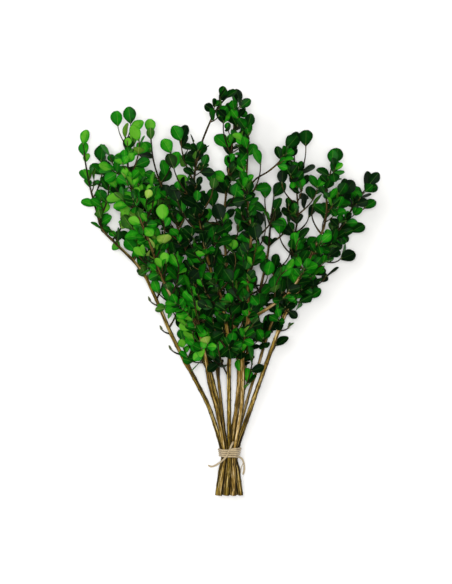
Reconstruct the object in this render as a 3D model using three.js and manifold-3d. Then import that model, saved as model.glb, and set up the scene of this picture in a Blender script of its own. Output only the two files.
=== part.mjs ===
// A tied bunch of preserved boxwood branches that lies on a surface, in millimetres.
// +Y runs from the cut ends to the tips, +Z is up, and the surface is the plane Z = 0.
// The routes below count X from the waist and Y from the cut ends.
import * as THREE from "three";
import { mergeVertices } from "three/addons/utils/BufferGeometryUtils.js";
import Module from "manifold-3d";

const wasm = await Module();
wasm.setup();

// The middle of the bunch on the surface, in the routes' X and Y: the finished part's origin.
const MIDDLE = [-1.4, 225.4];

// Wood: the tip of a stem or twig, the base of a twig, and how long a bare tip it has.
const STEM_TIP_RADIUS = 0.95;
const TWIG_BASE_RADIUS = 1.25;
const TWIG_TIP_RADIUS = 0.85;
const STEM_SIDES = 6;
const TWIG_SIDES = 4;
const TWIG_STEPS = 2;
// The rings of a stem up to the tie and just past it, along Y, and the even steps from there on.
const BUTT_RINGS_Y = [0, 13, 42, 48, 55];
const STEM_STEPS = 7;
// The stretch of a shoot that a pair of leaves grows from, and the least between other rings.
const NODE_LENGTH = 1.3;
const RING_SPACING = 11;
// A knot is a ring of swollen wood this long each way from its middle, and this share thicker.
const KNOT_REACH = 6;
const KNOT_SWELL = 0.35;
// A twig comes out of its stem outwards, and its last part turns along the stem.
const TWIG_TURN = 0.42;
const TWIG_BARE = 7;

// Leaves: opposite pairs, each pair turned from the last one about the shoot.
const INTERNODE = 14;
const PAIR_TURN = THREE.MathUtils.degToRad(62);
const PAIR_SPACING = 2; // one pair in this many is built
const PAIRS_FROM_TIP = 12; // and only of this many from the shoot's tip down
const TIP_INSET = 1.8;
const LEAF_SWING = 0.25;
const LEAF_LENGTH = [16.5, 23.5];
const LEAF_WIDTH_SHARE = [0.6, 0.74];
const BLADE_THICKNESS = 0.66;
// The angle between a leaf and its shoot, and the same for the pair at the tip.
const LEAF_ANGLE = [38, 68];
const TIP_LEAF_ANGLE = [12, 34];
// How far the heap presses leaves level, and how far blades turn up to the light.
const LEVEL_SHARE = 0.62;
const LIGHT_PULL = 1.15;
const LEAF_ROLL = 0.55;
const LEAF_CUP = [0.02, 0.16];
const LEAF_ARCH = [-0.04, 0.16];
// Half of a blade's outline: the share of its length, and the share of its half width.
const HALF_OUTLINE = [
  [0, 0],
  [0.3, 0.58],
  [0.63, 1],
  [0.9, 0.58],
  [1, 0],
];
// A blade that is tested for room is this much thicker and wider.
const GUARD_THICKNESS = 1.2;
const GUARD_WIDEN = 1.04;
// The share of a blade's length from which it is clear of its own branch, and of its own shoot.
const GUARD_FREE_FROM = 0.15;
const GUARD_OUTER_FROM = 0.3;

// Twine: 2 mm thick, wound tightly round the stems in the middle of the tie.
const TWINE_RADIUS = 0.95;
const TWINE_SIDES = 5;
const TWINE_GAP = 0.65;
const TIE_Y = 48;
const TIE_TURNS = 4.25;
const TIE_PITCH = 2.25;
const TIE_STEPS_PER_TURN = 10;
const TIE_START = -0.4;
// The right tail, from its end to the first turn.
const RIGHT_TAIL_ROUTE = [
  [15.6, 22.6, 3.2], [16.8, 27, 3.4], [17, 32, 4.2], [16.2, 36.6, 5.8], [14.6, 40.4, 8.4],
];
// The left tail, from the last turn over the others, and out to its end.
const LEFT_TAIL_ROUTE = [
  [1.4, 51.4, 23.5], [-1.4, 46.8, 23.4], [-4.2, 42.4, 22.8], [-8, 38.8, 20.6],
  [-12, 35.6, 17.2], [-16, 33.2, 14.2], [-20, 32.2, 12.2], [-23.4, 33.6, 11.4],
];
// The short end, out from under the crossing.
const SHORT_END_ROUTE = [[-1.2, 47.6, 24.2], [0.8, 52, 24.3], [2.8, 56.4, 24], [5, 60.6, 24.2]];

const LEAF_GREEN = { bright: 0x2c8a1e, mid: 0x17671a, dark: 0x0f4418 };
const TWINE_CREAM = 0xd8cbb0;

// Each branch: its place in the bundle, its stem's route from the cut end to the tip, where its
// leaves start along Y, and its side shoots as [Y where it leaves the stem, its tip].
const BRANCHES = [
  {
    name: "branch_left_outer",
    green: "bright",
    radius: 2.3,
    route: [
      [-13.3, 0, 9], [-9.6, 28, 10.6], [-7, 48, 12.5], [-21, 95, 17], [-36, 126, 20],
      [-53, 158, 22], [-66, 184, 24], [-81, 219, 27], [-98, 252, 30], [-126, 281, 32],
      [-140, 296, 34], [-147, 318, 36], [-154, 345, 38], [-160, 378, 40],
    ],
    leafyFrom: 238,
    knots: [148],
    twigs: [
      [148, [-43, 192, 30]], [186, [-57, 232, 22]], [218, [-74, 266, 36]],
      [240, [-84, 292, 24]], [262, [-100, 306, 42]], [284, [-118, 330, 24]],
      [306, [-134, 354, 46]], [330, [-142, 372, 26]],
    ],
    stubs: [[157, [-65, 164, 22]], [180, [-75, 186, 26]], [211, [-88, 218, 25]]],
  },
  {
    name: "branch_left_inner",
    green: "bright",
    radius: 2.5,
    route: [
      [-10.2, 0, 15.2], [-6.6, 28, 15.8], [-5, 48, 17.6], [-13, 95, 28], [-21, 124, 36],
      [-26, 155, 45], [-34, 187, 54], [-48, 209, 61], [-63, 222, 65], [-76, 249, 70],
      [-87, 282, 75], [-98, 309, 78], [-108, 348, 82], [-113, 396, 84],
    ],
    leafyFrom: 176,
    knots: [209],
    twigs: [
      [140, [-40, 182, 50]], [180, [-42, 230, 72]], [205, [-78, 226, 54]],
      [222, [-60, 268, 80]], [249, [-102, 272, 62]], [262, [-72, 306, 84]],
      [285, [-114, 308, 66]], [300, [-84, 340, 90]], [318, [-124, 342, 70]],
      [345, [-130, 376, 74]], [352, [-98, 392, 92]],
    ],
    stubs: [],
  },
  {
    name: "branch_left_slim",
    green: "mid",
    radius: 1.8,
    route: [
      [-4.6, 0, 8.8], [-3.2, 28, 10.4], [-2.6, 48, 12.4], [-8, 95, 17], [-13, 140, 24],
      [-20, 175, 31], [-28, 205, 36], [-43, 258, 44], [-59, 304, 51], [-74, 342, 58],
      [-83, 372, 64], [-86, 402, 68],
    ],
    leafyFrom: 168,
    knots: [],
    twigs: [
      [130, [-12, 178, 36]], [186, [-44, 222, 34]], [205, [-14, 246, 46]],
      [228, [-56, 262, 36]], [252, [-30, 296, 56]], [280, [-76, 308, 44]],
      [296, [-46, 344, 60]], [325, [-92, 352, 54]], [345, [-64, 380, 70]],
    ],
    stubs: [],
  },
  {
    name: "branch_centre_left",
    green: "dark",
    radius: 2.5,
    route: [
      [-2.4, 0, 15.4], [0, 28, 16], [0.4, 48, 17.7], [0, 95, 28], [0, 139, 42],
      [0, 168, 51], [-8, 216, 64], [-21, 255, 74], [-32, 304, 84], [-38, 345, 90],
      [-32, 380, 94], [-24, 403, 95], [-14, 424, 95], [-3, 438, 94],
    ],
    leafyFrom: 178,
    bareBetween: [386, 434],
    knots: [216],
    twigs: [
      [132, [-12, 170, 54]], [160, [-18, 200, 66]], [184, [10, 226, 54]],
      [205, [-30, 240, 80]], [226, [6, 268, 82]], [246, [-44, 284, 84]],
      [268, [-8, 306, 94]], [288, [-56, 326, 92]], [310, [-18, 346, 98]],
      [325, [-60, 362, 94]], [346, [-52, 392, 98]],
    ],
    stubs: [],
  },
  {
    name: "branch_centre",
    green: "mid",
    radius: 2.5,
    route: [
      [4.2, 0, 8.8], [2.6, 28, 10.4], [2.2, 48, 12.4], [8, 95, 18], [11, 140, 26],
      [6, 190, 36], [0, 230, 44], [-4, 275, 52], [-5, 312, 58], [-2, 345, 64],
      [3, 385, 70], [8, 432, 76],
    ],
    leafyFrom: 168,
    knots: [230],
    twigs: [
      [126, [14, 166, 32]], [158, [-8, 196, 40]], [178, [18, 214, 46]],
      [204, [-16, 238, 50]], [222, [14, 256, 54]], [246, [-15, 279, 62]],
      [268, [10, 300, 64]], [290, [-18, 322, 66]], [318, [12, 350, 72]],
      [352, [16, 386, 80]], [378, [-6, 412, 82]],
    ],
    stubs: [],
  },
  {
    name: "branch_centre_right",
    green: "mid",
    radius: 2.7,
    route: [
      [5.4, 0, 15.2], [6, 28, 16.2], [6, 48, 18], [13, 95, 27], [15, 122, 34],
      [15, 162, 46], [19, 184, 52], [22, 200, 56], [21, 228, 64], [22, 255, 71],
      [24, 290, 79], [21, 318, 84], [19, 345, 88], [20, 375, 90], [19, 404, 90],
    ],
    leafyFrom: 176,
    knots: [200, 255],
    twigs: [
      [112, [26, 154, 44]], [150, [2, 184, 60]], [208, [4, 238, 78]],
      [222, [42, 246, 72]], [240, [30, 284, 88]], [262, [40, 296, 74]],
      [282, [50, 316, 82]], [300, [6, 330, 92]], [326, [34, 366, 92]],
    ],
    stubs: [[212, [29, 220, 64]]],
    limbs: [
      {
        at: 197,
        radius: 1.9,
        route: [
          [34, 203, 57], [49, 213, 59], [62, 222, 61], [71, 232, 62], [84, 255, 64],
          [95, 278, 66], [104, 298, 68], [107, 319, 70], [106, 337, 72], [110, 353, 73],
          [113, 368, 74],
        ],
        leafyFrom: 226,
        knots: [],
        twigs: [
          [214, [62, 250, 74]], [232, [92, 244, 58]], [250, [76, 284, 76]],
          [268, [112, 280, 60]], [290, [92, 320, 78]], [312, [120, 334, 66]],
        ],
        stubs: [],
      },
      {
        at: 338,
        radius: 1,
        route: [[30, 350, 88], [43, 358, 86], [56, 370, 85], [63, 384, 84]],
        leafyFrom: 372,
        knots: [],
        twigs: [],
        stubs: [],
      },
    ],
  },
  {
    name: "branch_right_slim",
    green: "dark",
    radius: 1.8,
    route: [
      [9.8, 0, 1.45], [8.2, 13, 1.6], [6.6, 30, 4.4], [5.2, 48, 7.3], [22, 112, 12],
      [32, 143, 17], [40, 170, 22], [52, 205, 30], [63, 234, 37], [71, 262, 43],
      [73, 290, 48], [76, 315, 52], [73, 350, 57], [71, 386, 60],
    ],
    leafyFrom: 182,
    knots: [],
    twigs: [
      [176, [34, 210, 34]], [198, [70, 222, 22]], [224, [50, 254, 44]],
      [248, [84, 272, 34]], [266, [56, 292, 52]], [292, [88, 310, 42]],
      [312, [97, 342, 56]], [322, [58, 346, 62]], [345, [84, 388, 64]],
    ],
    stubs: [],
  },
  {
    name: "branch_right_outer",
    green: "dark",
    radius: 2.6,
    route: [
      [13.4, 0, 9.2], [9.6, 28, 10.8], [7.7, 48, 12.6], [25, 100, 20], [41, 146, 28],
      [57, 190, 35], [67, 212, 39], [79, 232, 42], [96, 255, 45], [112, 277, 47],
      [122, 296, 48], [132, 312, 49], [140, 326, 50], [152, 342, 51],
    ],
    leafyFrom: 206,
    knots: [188],
    twigs: [
      [158, [52, 168, 24]], [196, [58, 226, 46]], [216, [90, 222, 30]],
      [230, [108, 244, 26]], [244, [88, 276, 34]], [262, [124, 264, 34]],
      [276, [106, 308, 40]], [292, [136, 294, 30]], [304, [126, 336, 60]],
      [318, [150, 320, 42]],
    ],
    stubs: [[184, [66, 188, 36]]],
  },
  {
    name: "branch_back_right",
    green: "dark",
    radius: 2.4,
    route: [
      [1.4, 0, 1.95], [1.2, 13, 2.05], [0.7, 30, 4.4], [0.4, 48, 7.2], [9, 100, 9],
      [19, 150, 12], [27, 195, 15], [36, 235, 18], [43, 268, 20], [46, 300, 22],
      [50, 334, 24],
    ],
    leafyFrom: 150,
    knots: [],
    twigs: [
      [146, [6, 184, 14]], [166, [38, 190, 9]], [190, [16, 224, 22]],
      [206, [56, 236, 10]], [226, [26, 262, 26]], [246, [68, 270, 12]],
      [264, [32, 298, 28]], [280, [66, 304, 14]], [300, [40, 332, 30]],
    ],
    stubs: [],
  },
  {
    name: "branch_back_left",
    green: "dark",
    radius: 2.4,
    route: [
      [-7.4, 0, 1.95], [-6.5, 13, 2.05], [-5.6, 30, 4.4], [-5.2, 48, 7.2], [-12, 100, 9],
      [-24, 150, 11], [-38, 198, 13], [-54, 242, 15], [-72, 282, 17], [-90, 316, 20],
      [-104, 350, 24],
    ],
    leafyFrom: 156,
    knots: [],
    twigs: [
      [150, [-14, 186, 8]], [168, [-46, 186, 8]], [190, [-22, 226, 18]],
      [210, [-66, 232, 8]], [228, [-38, 266, 20]], [248, [-84, 262, 9]],
      [262, [-54, 300, 24]], [282, [-104, 300, 10]], [298, [-74, 338, 30]],
      [316, [-118, 334, 12]],
    ],
    stubs: [],
  },
];

// A repeatable number from 0 to 1 for whole-number keys.
function draw(...keys) {
  let mixed = 0x9e3779b9;
  for (const key of keys) {
    mixed = Math.imul(mixed ^ (key + 0x7f4a7c15), 0x85ebca6b);
    mixed ^= mixed >>> 13;
  }
  mixed = Math.imul(mixed, 0xc2b2ae35);
  mixed ^= mixed >>> 16;
  return (mixed >>> 0) / 2 ** 32;
}

function between([low, high], share) {
  return low + (high - low) * share;
}

function curveThrough(points) {
  const places = points.map((p) => new THREE.Vector3(...p));
  return new THREE.CatmullRomCurve3(places, false, "catmullrom", 0.5);
}

// The share of a curve's length at which it reaches a given Y.
function shareAtY(curve, y) {
  const places = curve.getSpacedPoints(200);
  const next = places.findIndex((p) => p.y > y);
  const low = places[next - 1];
  const high = places[next];
  return (next - 1 + (y - low.y) / (high.y - low.y)) / 200;
}

// A side shoot's curve: out of its parent, then turning along it.
function twigCurve(parent, share, tip) {
  const start = parent.getPointAt(share);
  const along = parent.getTangentAt(share);
  const end = new THREE.Vector3(...tip);
  const turn = end.clone().addScaledVector(along, -TWIG_TURN * start.distanceTo(end));
  return new THREE.QuadraticBezierCurve3(start, turn, end);
}

function evenStations(steps) {
  return Array.from({ length: steps + 1 }, (_, i) => i / steps);
}

function twigShoot(parent, [at, tip], bare) {
  const share = shareAtY(parent.curve, at);
  const curve = twigCurve(parent.curve, share, tip);
  const radii = [Math.min(TWIG_BASE_RADIUS, 0.8 * parent.radiusAt(share)), TWIG_TIP_RADIUS];
  return {
    curve,
    length: curve.getLength(),
    radiusAt: (u) => between(radii, u),
    sides: TWIG_SIDES,
    stations: evenStations(TWIG_STEPS),
    leafyFrom: bare,
  };
}

// A stem or limb: its radius falls slowly along it, and swells at its knots.
function stemShoot({ route, radius, leafyFrom, knots, bareBetween, ringsY = [] }, steps) {
  const curve = curveThrough(route);
  const length = curve.getLength();
  const middles = knots.map((y) => shareAtY(curve, y));
  const reach = KNOT_REACH / length;
  const radiusAt = (u) => {
    const taper = STEM_TIP_RADIUS + (radius - STEM_TIP_RADIUS) * (1 - u ** 2.2) ** 0.8;
    const swell = Math.max(0, ...middles.map((m) => 1 - Math.abs(u - m) / reach));
    return taper * (1 + KNOT_SWELL * swell);
  };
  const atKnots = middles.flatMap((m) => [m - reach, m, m + reach]);
  const farFromKnots = (u) => middles.every((m) => Math.abs(u - m) > 2 * reach);
  const lower = ringsY.map((y) => (y > 0 ? shareAtY(curve, y) : 0));
  const start = lower.at(-1) ?? 0;
  const upper = evenStations(steps).map((u) => between([start, 1], u));
  return {
    curve,
    length,
    radiusAt,
    sides: STEM_SIDES,
    stations: [...lower.slice(0, -1), ...upper.filter(farFromKnots), ...atKnots],
    leafyFrom: shareAtY(curve, leafyFrom) * length,
    bareBetween,
  };
}

// All shoots of a branch: the stem, its twigs and stubs, then each limb with its own.
function shootsOf(branch, steps = STEM_STEPS) {
  const stem = stemShoot(branch, steps);
  const twigs = branch.twigs.map((twig) => twigShoot(stem, twig, TWIG_BARE));
  const stubs = branch.stubs.map((stub) => twigShoot(stem, stub, Infinity));
  const limbs = (branch.limbs ?? []).flatMap((limb) => {
    const start = stem.curve.getPointAt(shareAtY(stem.curve, limb.at));
    const route = [start.toArray(), ...limb.route];
    return shootsOf({ ...limb, route }, Math.ceil(0.5 * limb.route.length));
  });
  return [stem, ...twigs, ...stubs, ...limbs];
}

// The sideways and upward directions across a shoot, neither turning about it.
function acrossFrame(tangent) {
  const side = new THREE.Vector3().crossVectors(tangent, new THREE.Vector3(0, 0, 1)).normalize();
  const up = new THREE.Vector3().crossVectors(side, tangent);
  return { side, up };
}

// A shoot's rings in order: the first, two close together where a pair of leaves grows, turned so
// that a flat side faces each leaf, and plain stations between them. A flat side starts facing down.
function ringsOf(shoot, pairs) {
  const nodes = pairs.flatMap(({ along, azimuth, leaves }) => [
    { at: along - 0.5 * NODE_LENGTH, azimuth, leaves },
    { at: along + 0.5 * NODE_LENGTH, azimuth },
  ]);
  const plain = shoot.stations
    .map((u) => ({ at: u * shoot.length }))
    .filter(({ at }) => at === 0 || nodes.every((node) => Math.abs(node.at - at) > RING_SPACING));
  const step = (2 * Math.PI) / shoot.sides;
  let turn = -0.5 * Math.PI;
  return [...nodes, ...plain]
    .sort((a, b) => a.at - b.at)
    .map((ring) => {
      if (ring.azimuth !== undefined) {
        turn = ring.azimuth + step * Math.round((turn - ring.azimuth) / step);
      }
      return { ...ring, turn };
    });
}

function ringPlaces(shoot, { at, turn }) {
  const share = Math.min(at / shoot.length, 1);
  const centre = shoot.curve.getPointAt(share);
  const { side, up } = acrossFrame(shoot.curve.getTangentAt(share));
  const radius = shoot.radiusAt(share);
  return Array.from({ length: shoot.sides }, (_, k) => {
    const angle = turn + ((k - 0.5) * 2 * Math.PI) / shoot.sides;
    return centre
      .clone()
      .addScaledVector(side, radius * Math.cos(angle))
      .addScaledVector(up, radius * Math.sin(angle));
  });
}

// One closed surface: a tube of rings, with each leaf drawn out of the flat side that faces it.
function shootGeometry(shoot, pairs = []) {
  const { sides } = shoot;
  const rings = ringsOf(shoot, pairs);
  const places = rings.flatMap((ring) => ringPlaces(shoot, ring));
  const index = [];
  rings.slice(0, -1).forEach(({ leaves = [], turn }, ring) => {
    const leafBySide = new Map(
      leaves.map((leaf) => {
        const flat = Math.round(((leaf.azimuth - turn) * sides) / (2 * Math.PI));
        return [((flat % sides) + sides) % sides, leaf];
      }),
    );
    for (let k = 0; k < sides; k++) {
      const low = ring * sides + k;
      const lowNext = ring * sides + ((k + 1) % sides);
      const loop = [low, low + sides, lowNext + sides, lowNext];
      if (leafBySide.has(k)) {
        addBlade(places, index, loop, leafBySide.get(k));
      } else {
        index.push(loop[0], loop[1], loop[2], loop[0], loop[2], loop[3]);
      }
    }
  });
  const last = (rings.length - 1) * sides;
  for (let k = 1; k + 1 < sides; k++) {
    index.push(0, k, k + 1, last, last + k + 1, last + k);
  }
  return indexedGeometry(places.flatMap((p) => p.toArray()), index);
}

// Draws a blade out of a loop of four points of its shoot, with as little twist as it can.
function addBlade(places, index, loop, leaf) {
  const outline = outlineFrom(0, 1).slice(1);
  const count = outline.length;
  const first = places.length;
  for (const h of [0.5, -0.5]) {
    places.push(...outline.map(([t, s]) => bladePoint(leaf, t, s, h * BLADE_THICKNESS)));
  }
  const neck = [first + count - 1, first, first + count, first + 2 * count - 1];
  const twist = (offset) =>
    loop.reduce((sum, from, i) => sum + places[from].distanceTo(places[neck[(i + offset) % 4]]), 0);
  const best = [0, 1, 2, 3].reduce((a, b) => (twist(b) < twist(a) ? b : a));
  loop.forEach((from, i) => {
    const next = loop[(i + 1) % 4];
    const to = neck[(i + best) % 4];
    const toNext = neck[(i + 1 + best) % 4];
    index.push(from, next, toNext, from, toNext, to);
  });
  const [right1, right2, right3, tip, left3, left2, left1] = outline.keys();
  const upper = [
    [right1, right2, tip], [right2, right3, tip], [left1, right1, tip],
    [tip, left3, left2], [tip, left2, left1],
  ];
  for (const [a, b, c] of upper) {
    index.push(first + a, first + b, first + c);
    index.push(first + count + a, first + count + c, first + count + b);
  }
  for (let i = 0; i + 1 < count; i++) {
    const a = first + i;
    index.push(a + count, a + count + 1, a + 1, a + count, a + 1, a);
  }
}

function indexedGeometry(positions, index) {
  return new THREE.BufferGeometry()
    .setAttribute("position", new THREE.Float32BufferAttribute(positions, 3))
    .setIndex(index);
}

// The direction about a shoot in which the first leaf of a pair grows.
function pairAzimuth(branchKey, shootKey, pair) {
  return 2 * Math.PI * draw(branchKey, shootKey, 1009) + pair * PAIR_TURN;
}

// The leaf of one side of one pair: where it grows, how it points and how its blade faces.
function leafOn(shoot, keys, along) {
  const chance = (salt) => draw(...keys, salt);
  const [branchKey, shootKey, pair, side] = keys;
  const share = along / shoot.length;
  const root = shoot.curve.getPointAt(share);
  const tangent = shoot.curve.getTangentAt(share);
  const frame = acrossFrame(tangent);
  const azimuth = pairAzimuth(branchKey, shootKey, pair) + side * Math.PI;
  const aim = azimuth + LEAF_SWING * (2 * chance(1) - 1);
  const range = pair === 0 ? TIP_LEAF_ANGLE : LEAF_ANGLE;
  const angle = THREE.MathUtils.degToRad(between(range, chance(2)));
  const outward = frame.side
    .clone()
    .multiplyScalar(Math.cos(aim))
    .addScaledVector(frame.up, Math.sin(aim));
  const direction = tangent
    .clone()
    .multiplyScalar(Math.cos(angle))
    .addScaledVector(outward, Math.sin(angle));
  direction.z *= LEVEL_SHARE;
  direction.normalize();
  const face = tangent
    .clone()
    .multiplyScalar(Math.sin(angle))
    .addScaledVector(outward, -Math.cos(angle));
  face.x += LEAF_ROLL * (2 * chance(3) - 1);
  face.y += LEAF_ROLL * (2 * chance(4) - 1);
  face.z += LIGHT_PULL + LEAF_ROLL * (2 * chance(5) - 1);
  face.addScaledVector(direction, -face.dot(direction)).normalize();
  const length = between(LEAF_LENGTH, chance(6));
  const leaf = {
    azimuth,
    root,
    direction,
    face,
    across: new THREE.Vector3().crossVectors(direction, face),
    length,
    halfWidth: 0.5 * length * between(LEAF_WIDTH_SHARE, chance(7)),
    cup: between(LEAF_CUP, chance(8)),
    arch: between(LEAF_ARCH, chance(9)),
    lift: 0,
  };
  leaf.lift = liftOffSurface(leaf);
  return leaf;
}

// A point of a blade: t runs along it, s across it from -1 to 1, h is off its middle face.
// Its sides rise by the cup and its tip falls by the arch, both with the square.
function bladePoint(leaf, t, s, h) {
  const off = leaf.cup * 2 * leaf.halfWidth * s * s - leaf.arch * leaf.length * t * t + h;
  const place = leaf.root
    .clone()
    .addScaledVector(leaf.direction, t * leaf.length)
    .addScaledVector(leaf.across, s * leaf.halfWidth)
    .addScaledVector(leaf.face, off);
  place.z += leaf.lift * t;
  return place;
}

// The outline round a blade, counterclockwise seen from its upper face.
function outlineFrom(start, widen) {
  const right = HALF_OUTLINE.map(([t, s]) => [Math.max(t, start), s * widen]);
  const left = right.slice(1, -1).reverse();
  return [...right, ...left.map(([t, s]) => [t, -s])];
}

// How much a blade turns up, a rise at its tip, for its lowest point to touch the surface.
function liftOffSurface(leaf) {
  const rises = outlineFrom(0, 1)
    .filter(([t]) => t > 0)
    .map(([t, s]) => {
      const heights = [-0.5, 0.5].map((h) => bladePoint(leaf, t, s, h * BLADE_THICKNESS).z);
      return -Math.min(...heights) / t;
    });
  return Math.max(0, ...rises);
}

// A separate closed blade, thicker and wider than the leaf, that is tested for room.
function guardGeometry(leaf, start) {
  const outline = outlineFrom(start, GUARD_WIDEN);
  const count = outline.length;
  const places = [0.5, -0.5].flatMap((h) =>
    outline.map(([t, s]) => bladePoint(leaf, t, s, h * GUARD_THICKNESS)),
  );
  const upper = [[0, 1, 7], [7, 1, 4], [1, 2, 4], [2, 3, 4], [4, 5, 6], [4, 6, 7]];
  const index = upper.flatMap(([a, b, c]) => [a, b, c, a + count, c + count, b + count]);
  for (let i = 0; i < count; i++) {
    const j = (i + 1) % count;
    index.push(i + count, j + count, j, i + count, j, i);
  }
  return indexedGeometry(places.flatMap((p) => p.toArray()), index);
}

// Every leaf that could be built on a branch's shoots.
function leavesOf(shoots, branchKey) {
  return shoots.flatMap((shoot, shootKey) => {
    const stretch = shoot.length - TIP_INSET - shoot.leafyFrom;
    const grown = Number.isFinite(stretch) ? Math.floor(stretch / INTERNODE) + 1 : 0;
    const pairs = Math.max(0, Math.min(grown, PAIRS_FROM_TIP));
    const [bareLow, bareHigh] = shoot.bareBetween ?? [0, 0];
    return Array.from({ length: pairs }, (_, pair) => pair)
      .filter((pair) => pair % PAIR_SPACING === 0)
      .flatMap((pair) => {
        const along = shoot.length - TIP_INSET - pair * INTERNODE;
        const { y } = shoot.curve.getPointAt(along / shoot.length);
        const isBare = y > bareLow && y < bareHigh;
        const sides = isBare ? [] : [0, 1];
        return sides.map((side) => {
          const leaf = leafOn(shoot, [branchKey, shootKey, pair, side], along);
          return { leaf, along, branchKey, shootKey, pair };
        });
      });
  });
}

function solidOf(geometry) {
  const merged = mergeVertices(geometry, 1e-4);
  return new wasm.Manifold(
    new wasm.Mesh({
      numProp: 3,
      vertProperties: merged.attributes.position.array,
      triVerts: new Uint32Array(merged.index.array),
    }),
  );
}

function boxOf(solid) {
  const { min, max } = solid.boundingBox();
  return new THREE.Box3(new THREE.Vector3(...min), new THREE.Vector3(...max));
}

function meets(solid, box, others) {
  return others.some((other) => box.intersectsBox(other.box) && solid.intersect(other.solid).volume() > 0);
}

// Chooses the leaves that stand clear of all wood and of each other, the tips first.
function leavesWithRoom(wood) {
  const candidates = wood
    .flatMap(({ shoots }, branchKey) => leavesOf(shoots, branchKey))
    .sort((a, b) => a.pair - b.pair);
  const kept = [];
  for (const candidate of candidates) {
    const { leaf, branchKey, shootKey } = candidate;
    const whole = solidOf(guardGeometry(leaf, 0));
    const free = solidOf(guardGeometry(leaf, GUARD_FREE_FROM));
    const outer = solidOf(guardGeometry(leaf, GUARD_OUTER_FROM));
    const box = boxOf(whole);
    const isOwn = (other) => other.branchKey === branchKey;
    const foreign = wood.filter((_, key) => key !== branchKey).flatMap(({ parts }) => parts);
    const siblings = wood[branchKey].parts.filter((_, key) => key !== shootKey);
    const blocked =
      meets(whole, box, [...foreign, ...kept.filter((other) => !isOwn(other))]) ||
      meets(free, box, [...siblings, ...kept.filter(isOwn)]) ||
      meets(outer, box, [wood[branchKey].parts[shootKey]]);
    if (!blocked) {
      kept.push({ ...candidate, solid: outer, box: boxOf(outer) });
    }
  }
  return kept;
}

// A shoot's leaves gathered in pairs.
function pairsOf(leaves, branchKey, shootKey) {
  const own = leaves.filter((leaf) => leaf.branchKey === branchKey && leaf.shootKey === shootKey);
  return [...new Set(own.map(({ pair }) => pair))].map((pair) => {
    const both = own.filter((leaf) => leaf.pair === pair);
    return {
      along: both[0].along,
      azimuth: pairAzimuth(branchKey, shootKey, pair),
      leaves: both.map(({ leaf }) => leaf),
    };
  });
}

// The route of a cord drawn tight round the stems at the tie: for each direction it lies
// against the stem that reaches furthest that way.
function tieRoute(wood) {
  const count = Math.round(TIE_TURNS * TIE_STEPS_PER_TURN);
  return Array.from({ length: count + 1 }, (_, i) => {
    const turns = i / TIE_STEPS_PER_TURN;
    const angle = TIE_START + 2 * Math.PI * turns;
    const out = new THREE.Vector3(Math.cos(angle), 0, Math.sin(angle));
    const y = TIE_Y + TIE_PITCH * (turns - 0.5 * TIE_TURNS);
    const stems = wood.map(({ shoots: [stem] }) => {
      const share = shareAtY(stem.curve, y);
      return { centre: stem.curve.getPointAt(share), radius: stem.radiusAt(share) };
    });
    const reach = ({ centre, radius }) => centre.dot(out) + radius;
    const furthest = stems.reduce((a, b) => (reach(b) > reach(a) ? b : a));
    const off = furthest.radius + TWINE_GAP + TWINE_RADIUS;
    return furthest.centre.clone().addScaledVector(out, off);
  });
}

// A route whose rings fall on its own points, however far apart these are.
class RingRoute extends THREE.CatmullRomCurve3 {
  getUtoTmapping(share) {
    return share;
  }
}

function cordSolid(points) {
  const section = new THREE.Shape(
    Array.from({ length: TWINE_SIDES }, (_, k) => {
      const angle = (2 * Math.PI * k) / TWINE_SIDES;
      return new THREE.Vector2(Math.cos(angle), Math.sin(angle)).multiplyScalar(TWINE_RADIUS);
    }),
  );
  const extrudePath = new RingRoute(points, false, "centripetal");
  const steps = points.length - 1;
  const geometry = new THREE.ExtrudeGeometry(section, { steps, bevelEnabled: false, extrudePath });
  geometry.deleteAttribute("normal");
  geometry.deleteAttribute("uv");
  return solidOf(geometry);
}

// The turns with the tail that they start from, the strand that crosses them, and the short end.
function twineSolid(wood) {
  const places = (route) => route.map((p) => new THREE.Vector3(...p));
  const turns = tieRoute(wood);
  const last = turns.at(-1);
  const cords = [
    [...places(RIGHT_TAIL_ROUTE), ...turns],
    [last, ...places(LEFT_TAIL_ROUTE)],
    places(SHORT_END_ROUTE),
  ];
  return cords.map(cordSolid).reduce((sum, cord) => sum.add(cord));
}

// The surface that the bunch lies on: what a stem presses on it is flat.
function pressedFlat(solid) {
  const { min, max } = solid.boundingBox();
  if (min[2] >= 0) {
    return solid;
  }
  const depth = 4;
  const below = new THREE.BoxGeometry(max[0] - min[0] + 2, max[1] - min[1] + 2, depth);
  below.deleteAttribute("normal");
  below.deleteAttribute("uv");
  below.translate(0.5 * (min[0] + max[0]), 0.5 * (min[1] + max[1]), -0.5 * depth);
  return solid.subtract(solidOf(below));
}

function largestBody(solid) {
  return solid.decompose().reduce((a, b) => (b.volume() > a.volume() ? b : a));
}

function meshOf(solid, name, colour, roughness) {
  const { numProp, vertProperties, triVerts } = solid.getMesh();
  const positions = Array.from({ length: vertProperties.length / numProp }, (_, i) => [
    ...vertProperties.subarray(i * numProp, i * numProp + 3),
  ]);
  const geometry = indexedGeometry(positions.flat(), Array.from(triVerts));
  geometry.translate(-MIDDLE[0], -MIDDLE[1], 0);
  geometry.computeVertexNormals();
  const material = new THREE.MeshStandardMaterial({ color: colour, roughness, metalness: 0 });
  const mesh = new THREE.Mesh(geometry, material);
  mesh.name = name;
  return mesh;
}

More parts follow.
